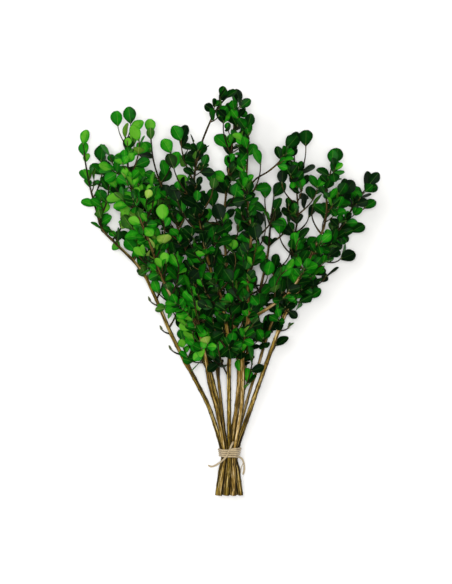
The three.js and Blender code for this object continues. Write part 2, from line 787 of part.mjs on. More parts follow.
function boxwoodBunch() {
  const group = new THREE.Group();
  const wood = BRANCHES.map((branch) => {
    const shoots = shootsOf({ ...branch, ringsY: BUTT_RINGS_Y });
    const parts = shoots.map((shoot) => {
      const solid = solidOf(shootGeometry(shoot));
      return { solid, box: boxOf(solid) };
    });
    return { shoots, parts };
  });
  const leaves = leavesWithRoom(wood);
  BRANCHES.forEach(({ name, green }, branchKey) => {
    const leafy = wood[branchKey].shoots.map((shoot, shootKey) =>
      solidOf(shootGeometry(shoot, pairsOf(leaves, branchKey, shootKey))),
    );
    const fused = leafy.reduce((sum, piece) => sum.add(piece));
    group.add(meshOf(largestBody(pressedFlat(fused)), name, LEAF_GREEN[green], 0.4));
  });
  group.add(meshOf(twineSolid(wood), "twine_tie", TWINE_CREAM, 0.95));
  return group;
}

export default boxwoodBunch();
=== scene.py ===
"""Dresses the tied bunch of preserved boxwood branches: bark, twigs, buds, leaves, twine and studio.

The bunch lies on a surface. Lengths are worked out in millimetres on the growth plan, which counts
X from the waist and Y from the cut ends, and are turned to metres round the frame's origin at the end.
"""

import logging
import math
from dataclasses import dataclass, field, replace
from enum import Enum
from functools import partial
from typing import Any, Callable, Sequence

import bpy
import numpy as np
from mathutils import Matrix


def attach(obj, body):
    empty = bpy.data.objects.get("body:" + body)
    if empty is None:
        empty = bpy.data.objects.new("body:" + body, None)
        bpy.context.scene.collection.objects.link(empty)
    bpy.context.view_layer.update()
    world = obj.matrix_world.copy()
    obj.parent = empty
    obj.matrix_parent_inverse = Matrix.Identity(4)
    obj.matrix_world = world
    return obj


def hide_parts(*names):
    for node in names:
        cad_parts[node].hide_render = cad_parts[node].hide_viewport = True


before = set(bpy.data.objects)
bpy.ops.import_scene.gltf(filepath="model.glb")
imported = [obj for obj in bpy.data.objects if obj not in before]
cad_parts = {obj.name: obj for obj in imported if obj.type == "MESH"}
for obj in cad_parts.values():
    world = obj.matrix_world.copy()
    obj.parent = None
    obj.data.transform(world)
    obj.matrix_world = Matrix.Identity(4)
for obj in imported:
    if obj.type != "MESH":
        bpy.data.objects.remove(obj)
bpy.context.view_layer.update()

LOG = logging.getLogger("boxwood_bunch")

# The middle of the bunch on the surface, in the growth plan's X and Y, in millimetres.
MIDDLE = np.array([-1.4, 225.4, 0.0])
METRES_PER_MM = 0.001
UP = np.array([0.0, 0.0, 1.0])

# What the solids have too, in millimetres, radians and shares: the turn from pair to pair, how far a
# leaf swings off its place, a twig's bare length and its radius at the root and the tip, and a
# blade's thickness and half outline.
PAIR_TURN = math.radians(62)
LEAF_SWING = 0.25
TWIG_BARE = 7.0
TWIG_RADII = (1.25, 0.62)
CAD_BLADE_THICKNESS = 0.66
HALF_OUTLINE = ((0.3, 0.58), (0.63, 1.0), (0.9, 0.58), (1.0, 0.0))


class Green(Enum):
    """How bright a branch's leaves are, as a place on the leaf colour ramp."""

    BRIGHT = 0.62
    MID = 0.4
    DARK = 0.24


@dataclass(frozen=True)
class BranchPlan:
    """A branch or limb: its radius at the start, its route, and what grows on it, in millimetres.

    Leaves start at Y = leafy_from and leave out bare_between. A twig or stub is [Y where it leaves
    the stem, [its tip]], and a limb leaves its stem at Y = at. The leaves at the branch's top are
    darker by top_shade on the colour ramp.
    """

    radius: float
    route: list
    leafy_from: float
    knots: list = field(default_factory=list)
    twigs: list = field(default_factory=list)
    stubs: list = field(default_factory=list)
    limbs: list = field(default_factory=list)
    name: str = ""
    green: Green = Green.MID
    bare_between: tuple = (0.0, 0.0)
    at: float = 0.0
    top_shade: float = 0.0


BRANCHES = [
    BranchPlan(
        name="branch_left_outer",
        green=Green.BRIGHT,
        radius=2.3,
        route=[
            [-13.3, 0, 9], [-9.6, 28, 10.6], [-7, 48, 12.5], [-21, 95, 17], [-36, 126, 20],
            [-53, 158, 22], [-66, 184, 24], [-81, 219, 27], [-98, 252, 30], [-126, 281, 32],
            [-140, 296, 34], [-147, 318, 36], [-154, 345, 38], [-160, 378, 40],
        ],
        leafy_from=238,
        knots=[148],
        twigs=[
            [148, [-43, 192, 30]], [186, [-57, 232, 22]], [218, [-74, 266, 36]],
            [240, [-84, 292, 24]], [262, [-100, 306, 42]], [284, [-118, 330, 24]],
            [306, [-134, 354, 46]], [330, [-142, 372, 26]],
        ],
        stubs=[[157, [-65, 164, 22]], [180, [-75, 186, 26]], [211, [-88, 218, 25]]],
    ),
    BranchPlan(
        name="branch_left_inner",
        green=Green.BRIGHT,
        radius=2.5,
        route=[
            [-10.2, 0, 15.2], [-6.6, 28, 15.8], [-5, 48, 17.6], [-13, 95, 28], [-21, 124, 36],
            [-26, 155, 45], [-34, 187, 54], [-48, 209, 61], [-63, 222, 65], [-76, 249, 70],
            [-87, 282, 75], [-98, 309, 78], [-108, 348, 82], [-113, 396, 84],
        ],
        leafy_from=176,
        knots=[209],
        twigs=[
            [140, [-40, 182, 50]], [180, [-42, 230, 72]], [205, [-78, 226, 54]],
            [222, [-60, 268, 80]], [249, [-102, 272, 62]], [262, [-72, 306, 84]],
            [285, [-114, 308, 66]], [300, [-84, 340, 90]], [318, [-124, 342, 70]],
            [345, [-130, 376, 74]], [352, [-98, 392, 92]],
        ],
    ),
    BranchPlan(
        name="branch_left_slim",
        green=Green.MID,
        radius=1.8,
        route=[
            [-4.6, 0, 8.8], [-3.2, 28, 10.4], [-2.6, 48, 12.4], [-8, 95, 17], [-13, 140, 24],
            [-20, 175, 31], [-28, 205, 36], [-43, 258, 44], [-59, 304, 51], [-74, 342, 58],
            [-83, 372, 64], [-86, 402, 68],
        ],
        leafy_from=168,
        twigs=[
            [130, [-12, 178, 36]], [186, [-44, 222, 34]], [205, [-14, 246, 46]],
            [228, [-56, 262, 36]], [252, [-30, 296, 56]], [280, [-76, 308, 44]],
            [296, [-46, 344, 60]], [325, [-92, 352, 54]], [345, [-64, 380, 70]],
        ],
    ),
    BranchPlan(
        name="branch_centre_left",
        green=Green.DARK,
        top_shade=0.08,
        radius=2.5,
        route=[
            [-2.4, 0, 15.4], [0, 28, 16], [0.4, 48, 17.7], [0, 95, 28], [0, 139, 42],
            [0, 168, 51], [-8, 216, 64], [-21, 255, 74], [-32, 304, 84], [-38, 345, 90],
            [-32, 380, 94], [-24, 403, 95], [-14, 424, 95], [-3, 438, 94],
        ],
        leafy_from=178,
        bare_between=(386, 434),
        knots=[216],
        twigs=[
            [132, [-12, 170, 54]], [160, [-18, 200, 66]], [184, [10, 226, 54]],
            [205, [-30, 240, 80]], [226, [6, 268, 82]], [246, [-44, 284, 84]],
            [268, [-8, 306, 94]], [288, [-56, 326, 92]], [310, [-18, 346, 98]],
            [325, [-60, 362, 94]], [346, [-52, 392, 98]],
        ],
    ),
    BranchPlan(
        name="branch_centre",
        green=Green.MID,
        top_shade=0.12,
        radius=2.5,
        route=[
            [4.2, 0, 8.8], [2.6, 28, 10.4], [2.2, 48, 12.4], [8, 95, 18], [11, 140, 26],
            [6, 190, 36], [0, 230, 44], [-4, 275, 52], [-5, 312, 58], [-2, 345, 64],
            [3, 385, 70], [8, 432, 76],
        ],
        leafy_from=168,
        knots=[230],
        twigs=[
            [126, [14, 166, 32]], [158, [-8, 196, 40]], [178, [18, 214, 46]],
            [204, [-16, 238, 50]], [222, [14, 256, 54]], [246, [-15, 279, 62]],
            [268, [10, 300, 64]], [290, [-18, 322, 66]], [318, [12, 350, 72]],
            [352, [16, 386, 80]], [378, [-6, 412, 82]],
        ],
    ),
    BranchPlan(
        name="branch_centre_right",
        green=Green.MID,
        radius=2.7,
        route=[
            [5.4, 0, 15.2], [6, 28, 16.2], [6, 48, 18], [13, 95, 27], [15, 122, 34],
            [15, 162, 46], [19, 184, 52], [22, 200, 56], [21, 228, 64], [22, 255, 71],
            [24, 290, 79], [21, 318, 84], [19, 345, 88], [20, 375, 90], [19, 404, 90],
        ],
        leafy_from=176,
        knots=[200, 255],
        twigs=[
            [112, [26, 154, 44]], [150, [2, 184, 60]], [208, [4, 238, 78]],
            [222, [42, 246, 72]], [240, [30, 284, 88]], [262, [40, 296, 74]],
            [282, [50, 316, 82]], [300, [6, 330, 92]], [326, [34, 366, 92]],
        ],
        stubs=[[212, [29, 220, 64]]],
        limbs=[
            BranchPlan(
                at=197,
                radius=1.9,
                route=[
                    [34, 203, 57], [49, 213, 59], [62, 222, 61], [71, 232, 62], [84, 255, 64],
                    [95, 278, 66], [104, 298, 68], [107, 319, 70], [106, 337, 72], [110, 353, 73],
                    [113, 368, 74],
                ],
                leafy_from=226,
                twigs=[
                    [214, [62, 250, 74]], [232, [92, 244, 58]], [250, [76, 284, 76]],
                    [268, [112, 280, 60]], [290, [92, 320, 78]], [312, [120, 334, 66]],
                ],
            ),
            BranchPlan(
                at=338,
                radius=1,
                route=[[30, 350, 88], [43, 358, 86], [56, 370, 85], [63, 384, 84]],
                leafy_from=372,
            ),
        ],
    ),
    BranchPlan(
        name="branch_right_slim",
        green=Green.DARK,
        radius=1.8,
        route=[
            [9.8, 0, 1.45], [8.2, 13, 1.6], [6.6, 30, 4.4], [5.2, 48, 7.3], [22, 112, 12],
            [32, 143, 17], [40, 170, 22], [52, 205, 30], [63, 234, 37], [71, 262, 43],
            [73, 290, 48], [76, 315, 52], [73, 350, 57], [71, 386, 60],
        ],
        leafy_from=182,
        twigs=[
            [176, [34, 210, 34]], [198, [70, 222, 22]], [224, [50, 254, 44]],
            [248, [84, 272, 34]], [266, [56, 292, 52]], [292, [88, 310, 42]],
            [312, [97, 342, 56]], [322, [58, 346, 62]], [345, [84, 388, 64]],
        ],
    ),
    BranchPlan(
        name="branch_right_outer",
        green=Green.DARK,
        radius=2.6,
        route=[
            [13.4, 0, 9.2], [9.6, 28, 10.8], [7.7, 48, 12.6], [25, 100, 20], [41, 146, 28],
            [57, 190, 35], [67, 212, 39], [79, 232, 42], [96, 255, 45], [112, 277, 47],
            [122, 296, 48], [132, 312, 49], [140, 326, 50], [152, 342, 51],
        ],
        leafy_from=206,
        knots=[188],
        twigs=[
            [158, [52, 168, 24]], [196, [58, 226, 46]], [216, [90, 222, 30]],
            [230, [108, 244, 26]], [244, [88, 276, 34]], [262, [124, 264, 34]],
            [276, [106, 308, 40]], [292, [136, 294, 30]], [304, [126, 336, 60]],
            [318, [150, 320, 42]],
        ],
        stubs=[[184, [66, 188, 36]]],
    ),
    BranchPlan(
        name="branch_back_right",
        green=Green.DARK,
        radius=2.4,
        route=[
            [1.4, 0, 1.95], [1.2, 13, 2.05], [0.7, 30, 4.4], [0.4, 48, 7.2], [9, 100, 9],
            [19, 150, 12], [27, 195, 15], [36, 235, 18], [43, 268, 20], [46, 300, 22],
            [50, 334, 24],
        ],
        leafy_from=150,
        twigs=[
            [146, [6, 184, 14]], [166, [38, 190, 9]], [190, [16, 224, 22]],
            [206, [56, 236, 10]], [226, [26, 262, 26]], [246, [68, 270, 12]],
            [264, [32, 298, 28]], [280, [66, 304, 14]], [300, [40, 332, 30]],
        ],
    ),
    BranchPlan(
        name="branch_back_left",
        green=Green.DARK,
        radius=2.4,
        route=[
            [-7.4, 0, 1.95], [-6.5, 13, 2.05], [-5.6, 30, 4.4], [-5.2, 48, 7.2], [-12, 100, 9],
            [-24, 150, 11], [-38, 198, 13], [-54, 242, 15], [-72, 282, 17], [-90, 316, 20],
            [-104, 350, 24],
        ],
        leafy_from=156,
        twigs=[
            [150, [-14, 186, 8]], [168, [-46, 186, 8]], [190, [-22, 226, 18]],
            [210, [-66, 232, 8]], [228, [-38, 266, 20]], [248, [-84, 262, 9]],
            [262, [-54, 300, 24]], [282, [-104, 300, 10]], [298, [-74, 338, 30]],
            [316, [-118, 334, 12]],
        ],
    ),
]


def draw(*keys: int) -> float:
    """Gives a repeatable number from 0 to 1 for whole-number keys, by mixing their bits in turn."""
    mask = 0xFFFFFFFF
    mixed = 0x9E3779B9
    for key in keys:
        mixed = ((mixed ^ (key + 0x7F4A7C15)) * 0x85EBCA6B) & mask
        mixed ^= mixed >> 13
    mixed = (mixed * 0xC2B2AE35) & mask
    mixed ^= mixed >> 16
    return mixed / 2**32


def unit(vectors: np.ndarray) -> np.ndarray:
    """Gives vectors the length of one, along the last axis."""
    return vectors / np.linalg.norm(vectors, axis=-1, keepdims=True)


def dot(a: np.ndarray, b: np.ndarray) -> np.ndarray:
    """Gives the dot products along the last axis, which is kept."""
    return np.sum(a * b, axis=-1, keepdims=True)


def smooth_step(low: float, high: float, values: np.ndarray) -> np.ndarray:
    """Rises from 0 at low to 1 at high as 3x^2 - 2x^3."""
    x = np.clip((values - low) / (high - low), 0, 1)
    return x * x * (3 - 2 * x)


class Curve:
    """A smooth curve that is read at even shares of its length."""

    DIVISIONS = 200

    def __init__(self) -> None:
        """Measures the curve along even steps of its own parameter."""
        places = self.point(np.linspace(0, 1, self.DIVISIONS + 1))
        steps = np.linalg.norm(np.diff(places, axis=0), axis=1)
        self.lengths = np.concatenate([[0.0], np.cumsum(steps)])
        self.length = float(self.lengths[-1])

    def point(self, t: np.ndarray) -> np.ndarray:
        """Gives the places at the curve's own parameter."""
        raise NotImplementedError

    def parameter(self, share: np.ndarray) -> np.ndarray:
        """Turns shares of the length into the curve's own parameter."""
        even = np.linspace(0, 1, self.DIVISIONS + 1)
        return np.interp(np.asarray(share, float) * self.length, self.lengths, even)

    def at(self, share: np.ndarray) -> np.ndarray:
        """Gives the places at shares of the length."""
        return self.point(self.parameter(np.atleast_1d(share)))

    def heading(self, share: np.ndarray) -> np.ndarray:
        """Gives the unit directions at shares of the length, from two points close by."""
        t = self.parameter(np.atleast_1d(share))
        step = 1e-4
        ahead = self.point(np.minimum(t + step, 1))
        return unit(ahead - self.point(np.maximum(t - step, 0)))

    def share_at_y(self, y: float) -> float:
        """Gives the share of the length at which the curve first passes a given Y."""
        heights = self.at(np.linspace(0, 1, self.DIVISIONS + 1))[:, 1]
        after = int(np.argmax(heights > y))
        low, high = heights[after - 1], heights[after]
        return (after - 1 + (y - low) / (high - low)) / self.DIVISIONS


class Spline(Curve):
    """A curve through points, each leaving its point along the line between that point's neighbours.

    Between two points it is the cubic with those end places and end directions.
    Where the points lie unevenly, the directions are weighed by the square root of the distances.
    """

    def __init__(self, points: Sequence, weighed: bool = False) -> None:
        """Takes the points that the curve runs through, in order."""
        inner = np.array(points, float)
        first, last = 2 * inner[0] - inner[1], 2 * inner[-1] - inner[-2]
        points_all = np.vstack([first, inner, last])
        starts, ends = points_all[1:-2], points_all[2:-1]
        before, after = points_all[:-3], points_all[3:]
        if weighed:
            gaps = np.sqrt(np.linalg.norm(np.diff(points_all, axis=0), axis=1))[:, None]
            g0, g1, g2 = gaps[:-2], gaps[1:-1], gaps[2:]
            leave = (starts - before) / g0 - (ends - before) / (g0 + g1) + (ends - starts) / g1
            arrive = (ends - starts) / g1 - (after - starts) / (g1 + g2) + (after - ends) / g2
            leave, arrive = leave * g1, arrive * g1
        else:
            leave, arrive = 0.5 * (ends - before), 0.5 * (after - starts)
        rise = ends - starts
        self.terms = np.stack(
            [starts, leave, 3 * rise - 2 * leave - arrive, leave + arrive - 2 * rise]
        )
        super().__init__()

    def point(self, t: np.ndarray) -> np.ndarray:
        """Gives the places at parameters from 0 to 1, with every stretch an equal part of it."""
        count = self.terms.shape[1]
        place = np.clip(np.asarray(t, float), 0, 1) * count
        stretch = np.minimum(place.astype(int), count - 1)
        x = (place - stretch)[:, None]
        a, b, c, d = self.terms[:, stretch]
        return a + x * (b + x * (c + x * d))


class Bend(Curve):
    """A side shoot's curve: out of its parent at a share of its length, then turning along it."""

    TURN = 0.42

    def __init__(self, parent: Curve, share: float, tip: Sequence[float]) -> None:
        """Takes the parent's curve, the share of it where this starts, and this curve's end."""
        self.start = parent.at(share)[0]
        self.end = np.array(tip, float)
        reach = np.linalg.norm(self.end - self.start)
        self.turn = self.end - self.TURN * reach * parent.heading(share)[0]
        super().__init__()

    def point(self, t: np.ndarray) -> np.ndarray:
        """Gives the quadratic curve's places: (1-t)^2 start + 2t(1-t) turn + t^2 end."""
        x = np.asarray(t, float)[:, None]
        return (1 - x) ** 2 * self.start + 2 * x * (1 - x) * self.turn + x * x * self.end


@dataclass(frozen=True)
class Habit:
    """How leaves sit on a shoot: distances in millimetres, angles in degrees, and shares.

    The first pair is inset from the shoot's tip. Directions are flattened by level_share, and faces
    turn up by light_pull and off it by roll times a draw. A shoot that keeps fewer leaves than
    least_leaves is left out.
    """

    internode: float = 14.0
    length: tuple = (16.5, 23.5)
    width_share: tuple = (0.6, 0.74)
    angle: tuple = (38, 68)
    tip_angle: tuple = (12, 34)
    cup: tuple = (0.02, 0.16)
    arch: tuple = (-0.04, 0.16)
    level_share: float = 0.62
    light_pull: float = 1.15
    roll: float = 0.55
    inset: float = 1.8
    first_key: int = 0
    least_leaves: int = 2


# Stems, limbs and twigs bear leaves as the solids do, with smaller ones between their pairs. Stubs
# and sprigs bear small, close ones, and the sprigs at the stems' tips larger ones.
PLAIN_HABIT = Habit(least_leaves=0)
BETWEEN_HABIT = Habit(
    length=(11.0, 18.0), width_share=(0.66, 0.82), angle=(28, 66), light_pull=0.8, roll=0.75,
    inset=8.8, first_key=500,
)
SPRIG_HABIT = Habit(
    internode=7.2, length=(10.5, 17.0), width_share=(0.62, 0.8), angle=(30, 72), level_share=0.8,
    light_pull=0.75, roll=0.8,
)
STUB_HABIT = Habit(
    internode=5.0, length=(6.0, 9.5), width_share=(0.34, 0.5), angle=(16, 40), tip_angle=(8, 30),
    light_pull=0.7, roll=0.9, inset=0.6, first_key=900,
)
TIP_HABIT = Habit(
    internode=9.0, length=(16.5, 21.5), width_share=(0.56, 0.68), angle=(25, 50), tip_angle=(14, 34),
    light_pull=2.6, roll=0.3, inset=1.4, first_key=40, least_leaves=1,
)
COVER_HABIT = Habit(
    internode=5.0, length=(10.0, 15.5), width_share=(0.64, 0.82), angle=(45, 85), tip_angle=(20, 55),
    level_share=0.85, light_pull=1.3, roll=0.75, inset=1.2,
)


@dataclass
class Shoot:
    """A stem, limb, twig, stub or sprig: its curve, its radius by share of length, and its leaves."""

    curve: Curve
    radius: Callable[[np.ndarray], np.ndarray]
    leafy_from: float
    knots: list = field(default_factory=list)
    is_stem: bool = False
    bare_between: tuple = (0.0, 0.0)
    habit: Habit = PLAIN_HABIT

    def radius_at(self, share: float) -> float:
        """Gives the radius at one share of the length."""
        return float(self.radius(np.array([share]))[0])


def stem_radius(plan: BranchPlan, curve: Curve, knots: Sequence[float]) -> Callable:
    """Gives a stem's radius by share of length: it falls slowly, and swells at its knots.

    Args:
        plan: the branch, with the radius at its start.
        curve: the stem's curve.
        knots: the shares of the length where its knots are.

    Returns:
        A function of the share: tip + (base - tip)(1 - share^2.2)^0.8, and 0.35 of that more at a
        knot, which falls off as exp(-1.6 d^2) with d the way from it over its reach.
    """
    tip, reach, swelling = 0.95, 6.0, 0.35

    def radius(share: np.ndarray) -> np.ndarray:
        x = np.clip(share, 0, 1)
        taper = tip + (plan.radius - tip) * (1 - x**2.2) ** 0.8
        away = [np.abs(x - knot) * curve.length / reach for knot in knots]
        swell = np.max([np.exp(-1.6 * d * d) for d in away], axis=0) if away else 0.0
        return taper * (1 + swelling * swell)

    return radius


def side_shoot(
    parent: Shoot, share: float, tip: Sequence[float], bare: float,
    radii: tuple = TWIG_RADII, power: float = 0.8, habit: Habit = PLAIN_HABIT,
) -> Shoot:
    """Grows a twig, stub or sprig out of its parent.

    Its radius is end + (root - end)(1 - share)^power, its root at most 0.8 of its parent there.

    Args:
        parent: the shoot that it grows from.
        share: the share of the parent's length where it starts.
        tip: its tip.
        bare: how much of it is bare before its leaves start.
        radii: its radius at the root and the end.
        power: how its radius falls.
        habit: how its leaves sit.

    Returns:
        The side shoot.
    """
    root, end = min(radii[0], 0.8 * parent.radius_at(share)), radii[1]

    def radius(x: np.ndarray) -> np.ndarray:
        return end + (root - end) * (1 - np.clip(x, 0, 1)) ** power

    return Shoot(Bend(parent.curve, share, tip), radius, bare, habit=habit)


def shoots_of(plan: BranchPlan) -> list[Shoot]:
    """Lists all shoots of a branch: the stem, its twigs and stubs, then each limb with its own."""
    curve = Spline(plan.route)
    knots = [curve.share_at_y(y) for y in plan.knots]
    radius = stem_radius(plan, curve, knots)
    leafy_from = curve.share_at_y(plan.leafy_from) * curve.length
    stem = Shoot(curve, radius, leafy_from, knots, True, plan.bare_between)
    shoots = [stem]
    for bare, sides in ((TWIG_BARE, plan.twigs), (math.inf, plan.stubs)):
        shoots += [side_shoot(stem, curve.share_at_y(y), tip, bare) for y, tip in sides]
    for limb in plan.limbs:
        start = curve.at(curve.share_at_y(limb.at))[0]
        shoots += shoots_of(replace(limb, route=[start.tolist(), *limb.route]))
    return shoots


@dataclass
class Blades:
    """Leaves as arrays with one row each: where each grows, how it points, and how it is bent."""

    keys: np.ndarray
    root: np.ndarray
    direction: np.ndarray
    face: np.ndarray
    length: np.ndarray
    half_width: np.ndarray
    cup: np.ndarray
    arch: np.ndarray
    lift: np.ndarray

    def __len__(self) -> int:
        """Counts the leaves."""
        return len(self.length)

    def take(self, chosen: np.ndarray) -> "Blades":
        """Keeps only the chosen leaves."""
        return Blades(**{name: values[chosen] for name, values in self.__dict__.items()})

    @property
    def across(self) -> np.ndarray:
        """Gives each leaf's direction across its blade."""
        return np.cross(self.direction, self.face)

    def points(self, t: np.ndarray, s: np.ndarray, h: np.ndarray) -> np.ndarray:
        """Gives blade places by t along, s across from -1 to 1, and h off the middle face.

        A place is root + t length along + s half width across + (cup 2 half width s^2
        - arch length t^2 + h) off the face, and it rises by lift t.
        """
        length, half = self.length[:, None], self.half_width[:, None]
        off = self.cup[:, None] * 2 * half * s**2 - self.arch[:, None] * length * t**2 + h
        places = (
            self.root[:, None]
            + (t * length)[..., None] * self.direction[:, None]
            + (s * half)[..., None] * self.across[:, None]
            + off[..., None] * self.face[:, None]
        )
        places[..., 2] += self.lift[:, None] * t
        return places


def joined(parts: Sequence[Blades]) -> Blades:
    """Joins several sets of leaves into one."""
    names = parts[0].__dict__
    return Blades(**{n: np.concatenate([getattr(p, n) for p in parts]) for n in names})


def rest_on_surface(blades: Blades) -> np.ndarray:
    """Gives the rise at each tip that lifts a blade's lowest point onto the surface."""
    outline = np.array([(t, sign * s) for t, s in HALF_OUTLINE for sign in (1, -1)])
    low = np.full((len(blades), len(outline)), np.inf)
    for h in (-0.5, 0.5):
        places = blades.points(outline[:, 0], outline[:, 1], h * CAD_BLADE_THICKNESS)
        low = np.minimum(low, places[..., 2])
    return np.maximum(0, np.max(-low / outline[:, 0], axis=1))


def blades_on(shoot: Shoot, branch_key: int, shoot_key: int, habit: Habit) -> Blades | None:
    """Grows the opposite pairs of leaves of one shoot, from its tip downwards.

    Args:
        shoot: the shoot that they grow on.
        branch_key: the branch's place in the bunch, for the draws.
        shoot_key: the shoot's place in the branch, for the draws.
        habit: how they sit on it.

    Returns:
        The leaves, or None where the shoot has none.
    """
    length = shoot.curve.length
    stretch = length - habit.inset - shoot.leafy_from
    if not math.isfinite(stretch):
        return None
    count = int(math.floor(stretch / habit.internode)) + 1
    alongs = length - habit.inset - habit.internode * np.arange(max(count, 0))
    heights = shoot.curve.at(alongs / length)[:, 1] if count > 0 else np.zeros(0)
    low, high = shoot.bare_between
    pairs = [p for p in range(count) if not low < heights[p] < high]
    first = habit.first_key
    keys = [(branch_key, shoot_key, first + pair, side) for pair in pairs for side in (0, 1)]
    if not keys:
        return None
    pair_of = np.array([key[2] for key in keys]) - first
    side_of = np.array([key[3] for key in keys])

    def chance(salt: int) -> np.ndarray:
        return np.array([draw(*key, salt) for key in keys])

    def spread(salt: int, low_end: float | np.ndarray, high_end: float | np.ndarray) -> np.ndarray:
        return low_end + (high_end - low_end) * chance(salt)

    share = alongs[pair_of] / length
    root, tangent = shoot.curve.at(share), shoot.curve.heading(share)
    side = unit(np.cross(tangent, UP))
    up = np.cross(side, tangent)
    start = 2 * math.pi * draw(branch_key, shoot_key, 1009)
    aim = start + pair_of * PAIR_TURN + side_of * math.pi + LEAF_SWING * (2 * chance(1) - 1)
    at_tip = pair_of == 0
    low_angle = np.where(at_tip, habit.tip_angle[0], habit.angle[0])
    high_angle = np.where(at_tip, habit.tip_angle[1], habit.angle[1])
    angle = np.radians(spread(2, low_angle, high_angle))[:, None]
    outward = side * np.cos(aim)[:, None] + up * np.sin(aim)[:, None]
    direction = tangent * np.cos(angle) + outward * np.sin(angle)
    direction[:, 2] *= habit.level_share
    direction = unit(direction)
    face = tangent * np.sin(angle) - outward * np.cos(angle)
    face[:, 0] += habit.roll * (2 * chance(3) - 1)
    face[:, 1] += habit.roll * (2 * chance(4) - 1)
    face[:, 2] += habit.light_pull + habit.roll * (2 * chance(5) - 1)
    face = unit(face - direction * dot(face, direction))
    leaf_length = spread(6, *habit.length)
    blades = Blades(
        keys=np.array(keys),
        root=root,
        direction=direction,
        face=face,
        length=leaf_length,
        half_width=0.5 * leaf_length * spread(7, *habit.width_share),
        cup=spread(8, *habit.cup),
        arch=spread(9, *habit.arch),
        lift=np.zeros(len(keys)),
    )
    blades.lift = rest_on_surface(blades)
    return blades


class Room:
    """Chooses the leaves that stand clear of the wood and of each other, the tips first.

    A blade is tested as its flat outline's triangles: two blades cross where an edge of one passes
    through a triangle of the other. Lengths are in millimetres.
    """

    OUTLINE = np.array([
        [0.06, 0], [0.3, 0.75], [0.6, 1], [0.88, 0.7], [1, 0], [0.88, -0.7], [0.6, -1], [0.3, -0.75],
    ])
    TRIANGLES = np.array([[0, 1, 7], [7, 1, 4], [1, 2, 4], [2, 3, 4], [4, 5, 6], [4, 6, 7]])
    EDGES = np.array([[i, (i + 1) % 8] for i in range(8)] + [[1, 7], [4, 7], [1, 4]])
    CLEAR_OF_WOOD = 0.2
    REACH_TO_WOOD = 22
    REACH_TO_LEAF = 26

    def __init__(self, blades: Blades, wood: np.ndarray) -> None:
        """Takes all leaves, and the wood as rows of place and radius."""
        self.blades = blades
        flat = np.zeros(len(self.OUTLINE))
        self.outlines = blades.points(self.OUTLINE[:, 0], self.OUTLINE[:, 1], flat)
        self.middles = self.outlines.mean(axis=1)
        samples = [(t, s) for t in (0.35, 0.5, 0.65, 0.8, 0.95) for s in (-0.9, -0.45, 0, 0.45, 0.9)]
        t, s = np.array(samples).T
        s = s * blade_half_width(t)
        self.samples = blades.points(t, s, np.zeros(len(t)))
        self.wood = wood

    def meets_wood(self, i: int) -> bool:
        """Tells whether a leaf's outer part runs through any wood."""
        away = np.linalg.norm(self.wood[:, :3] - self.middles[i], axis=1)
        near = self.wood[away < self.REACH_TO_WOOD]
        gaps = np.linalg.norm(self.samples[i][:, None] - near[:, :3], axis=2)
        return bool((gaps < near[:, 3] + self.CLEAR_OF_WOOD).any())

    def crosses(self, i: int, others: np.ndarray) -> bool:
        """Tells whether a leaf crosses any of the others."""
        if not len(others):
            return False
        own, far = self.outlines[i], self.outlines[others]
        forward = self.pierced(own[None, self.EDGES], far[:, self.TRIANGLES])
        return forward or self.pierced(far[:, self.EDGES], own[None, self.TRIANGLES])

    @staticmethod
    def pierced(edges: np.ndarray, triangles: np.ndarray) -> bool:
        """Tells whether any edge passes through any triangle, by signed volumes on both."""
        p, q = edges[:, :, None, 0], edges[:, :, None, 1]
        a, b, c = (triangles[:, None, :, k] for k in range(3))

        def volume(u: np.ndarray, v: np.ndarray, w: np.ndarray, x: np.ndarray) -> np.ndarray:
            return np.sum((u - x) * np.cross(v - x, w - x), axis=-1)

        sides = volume(a, b, c, p) * volume(a, b, c, q) < 0
        one = volume(p, q, a, b)
        two = volume(p, q, b, c)
        three = volume(p, q, c, a)
        inside = ((one > 0) == (two > 0)) & ((two > 0) == (three > 0))
        return bool((sides & inside).any())

    def choose(self, always: np.ndarray, allowed: np.ndarray) -> np.ndarray:
        """Keeps the leaves of the solids, then every other one that has room.

        Args:
            always: which leaves the solids have.
            allowed: which others may be kept.

        Returns:
            Which leaves are kept.
        """
        kept = always.copy()
        order = np.argsort(self.blades.keys[:, 2], kind="stable")
        for i in order[(allowed & ~always)[order]]:
            away = np.linalg.norm(self.middles - self.middles[i], axis=1)
            others = np.flatnonzero((away < self.REACH_TO_LEAF) & kept)
            kept[i] = not self.meets_wood(i) and not self.crosses(i, others)
        return kept


def blade_half_width(t: np.ndarray) -> np.ndarray:
    """Gives the blade's half width as a share of its widest, by share of length.

    It is sin(pi t^1.24)^0.68, widest past the middle as an egg with its narrow end at the stalk,
    and no narrower than the stalk.
    """
    body = np.sin(math.pi * np.clip(t, 0, 1) ** 1.24).clip(0) ** 0.68
    stalk = 0.07 * (t < 0.5)
    return np.maximum(body, stalk)


@dataclass
class Surface:
    """A mesh in the making: its places, its faces one after another, and its values at each place."""

    places: np.ndarray
    corners: np.ndarray
    sizes: np.ndarray
    slots: np.ndarray
    values: dict[str, np.ndarray]


def fused(parts: Sequence[Surface]) -> Surface:
    """Puts several surfaces into one, one after another."""
    starts = np.cumsum([0] + [len(part.places) for part in parts[:-1]])
    return Surface(
        places=np.concatenate([part.places for part in parts]),
        corners=np.concatenate([part.corners + start for part, start in zip(parts, starts)]),
        sizes=np.concatenate([part.sizes for part in parts]),
        slots=np.concatenate([part.slots for part in parts]),
        values={n: np.concatenate([p.values[n] for p in parts]) for n in parts[0].values},
    )


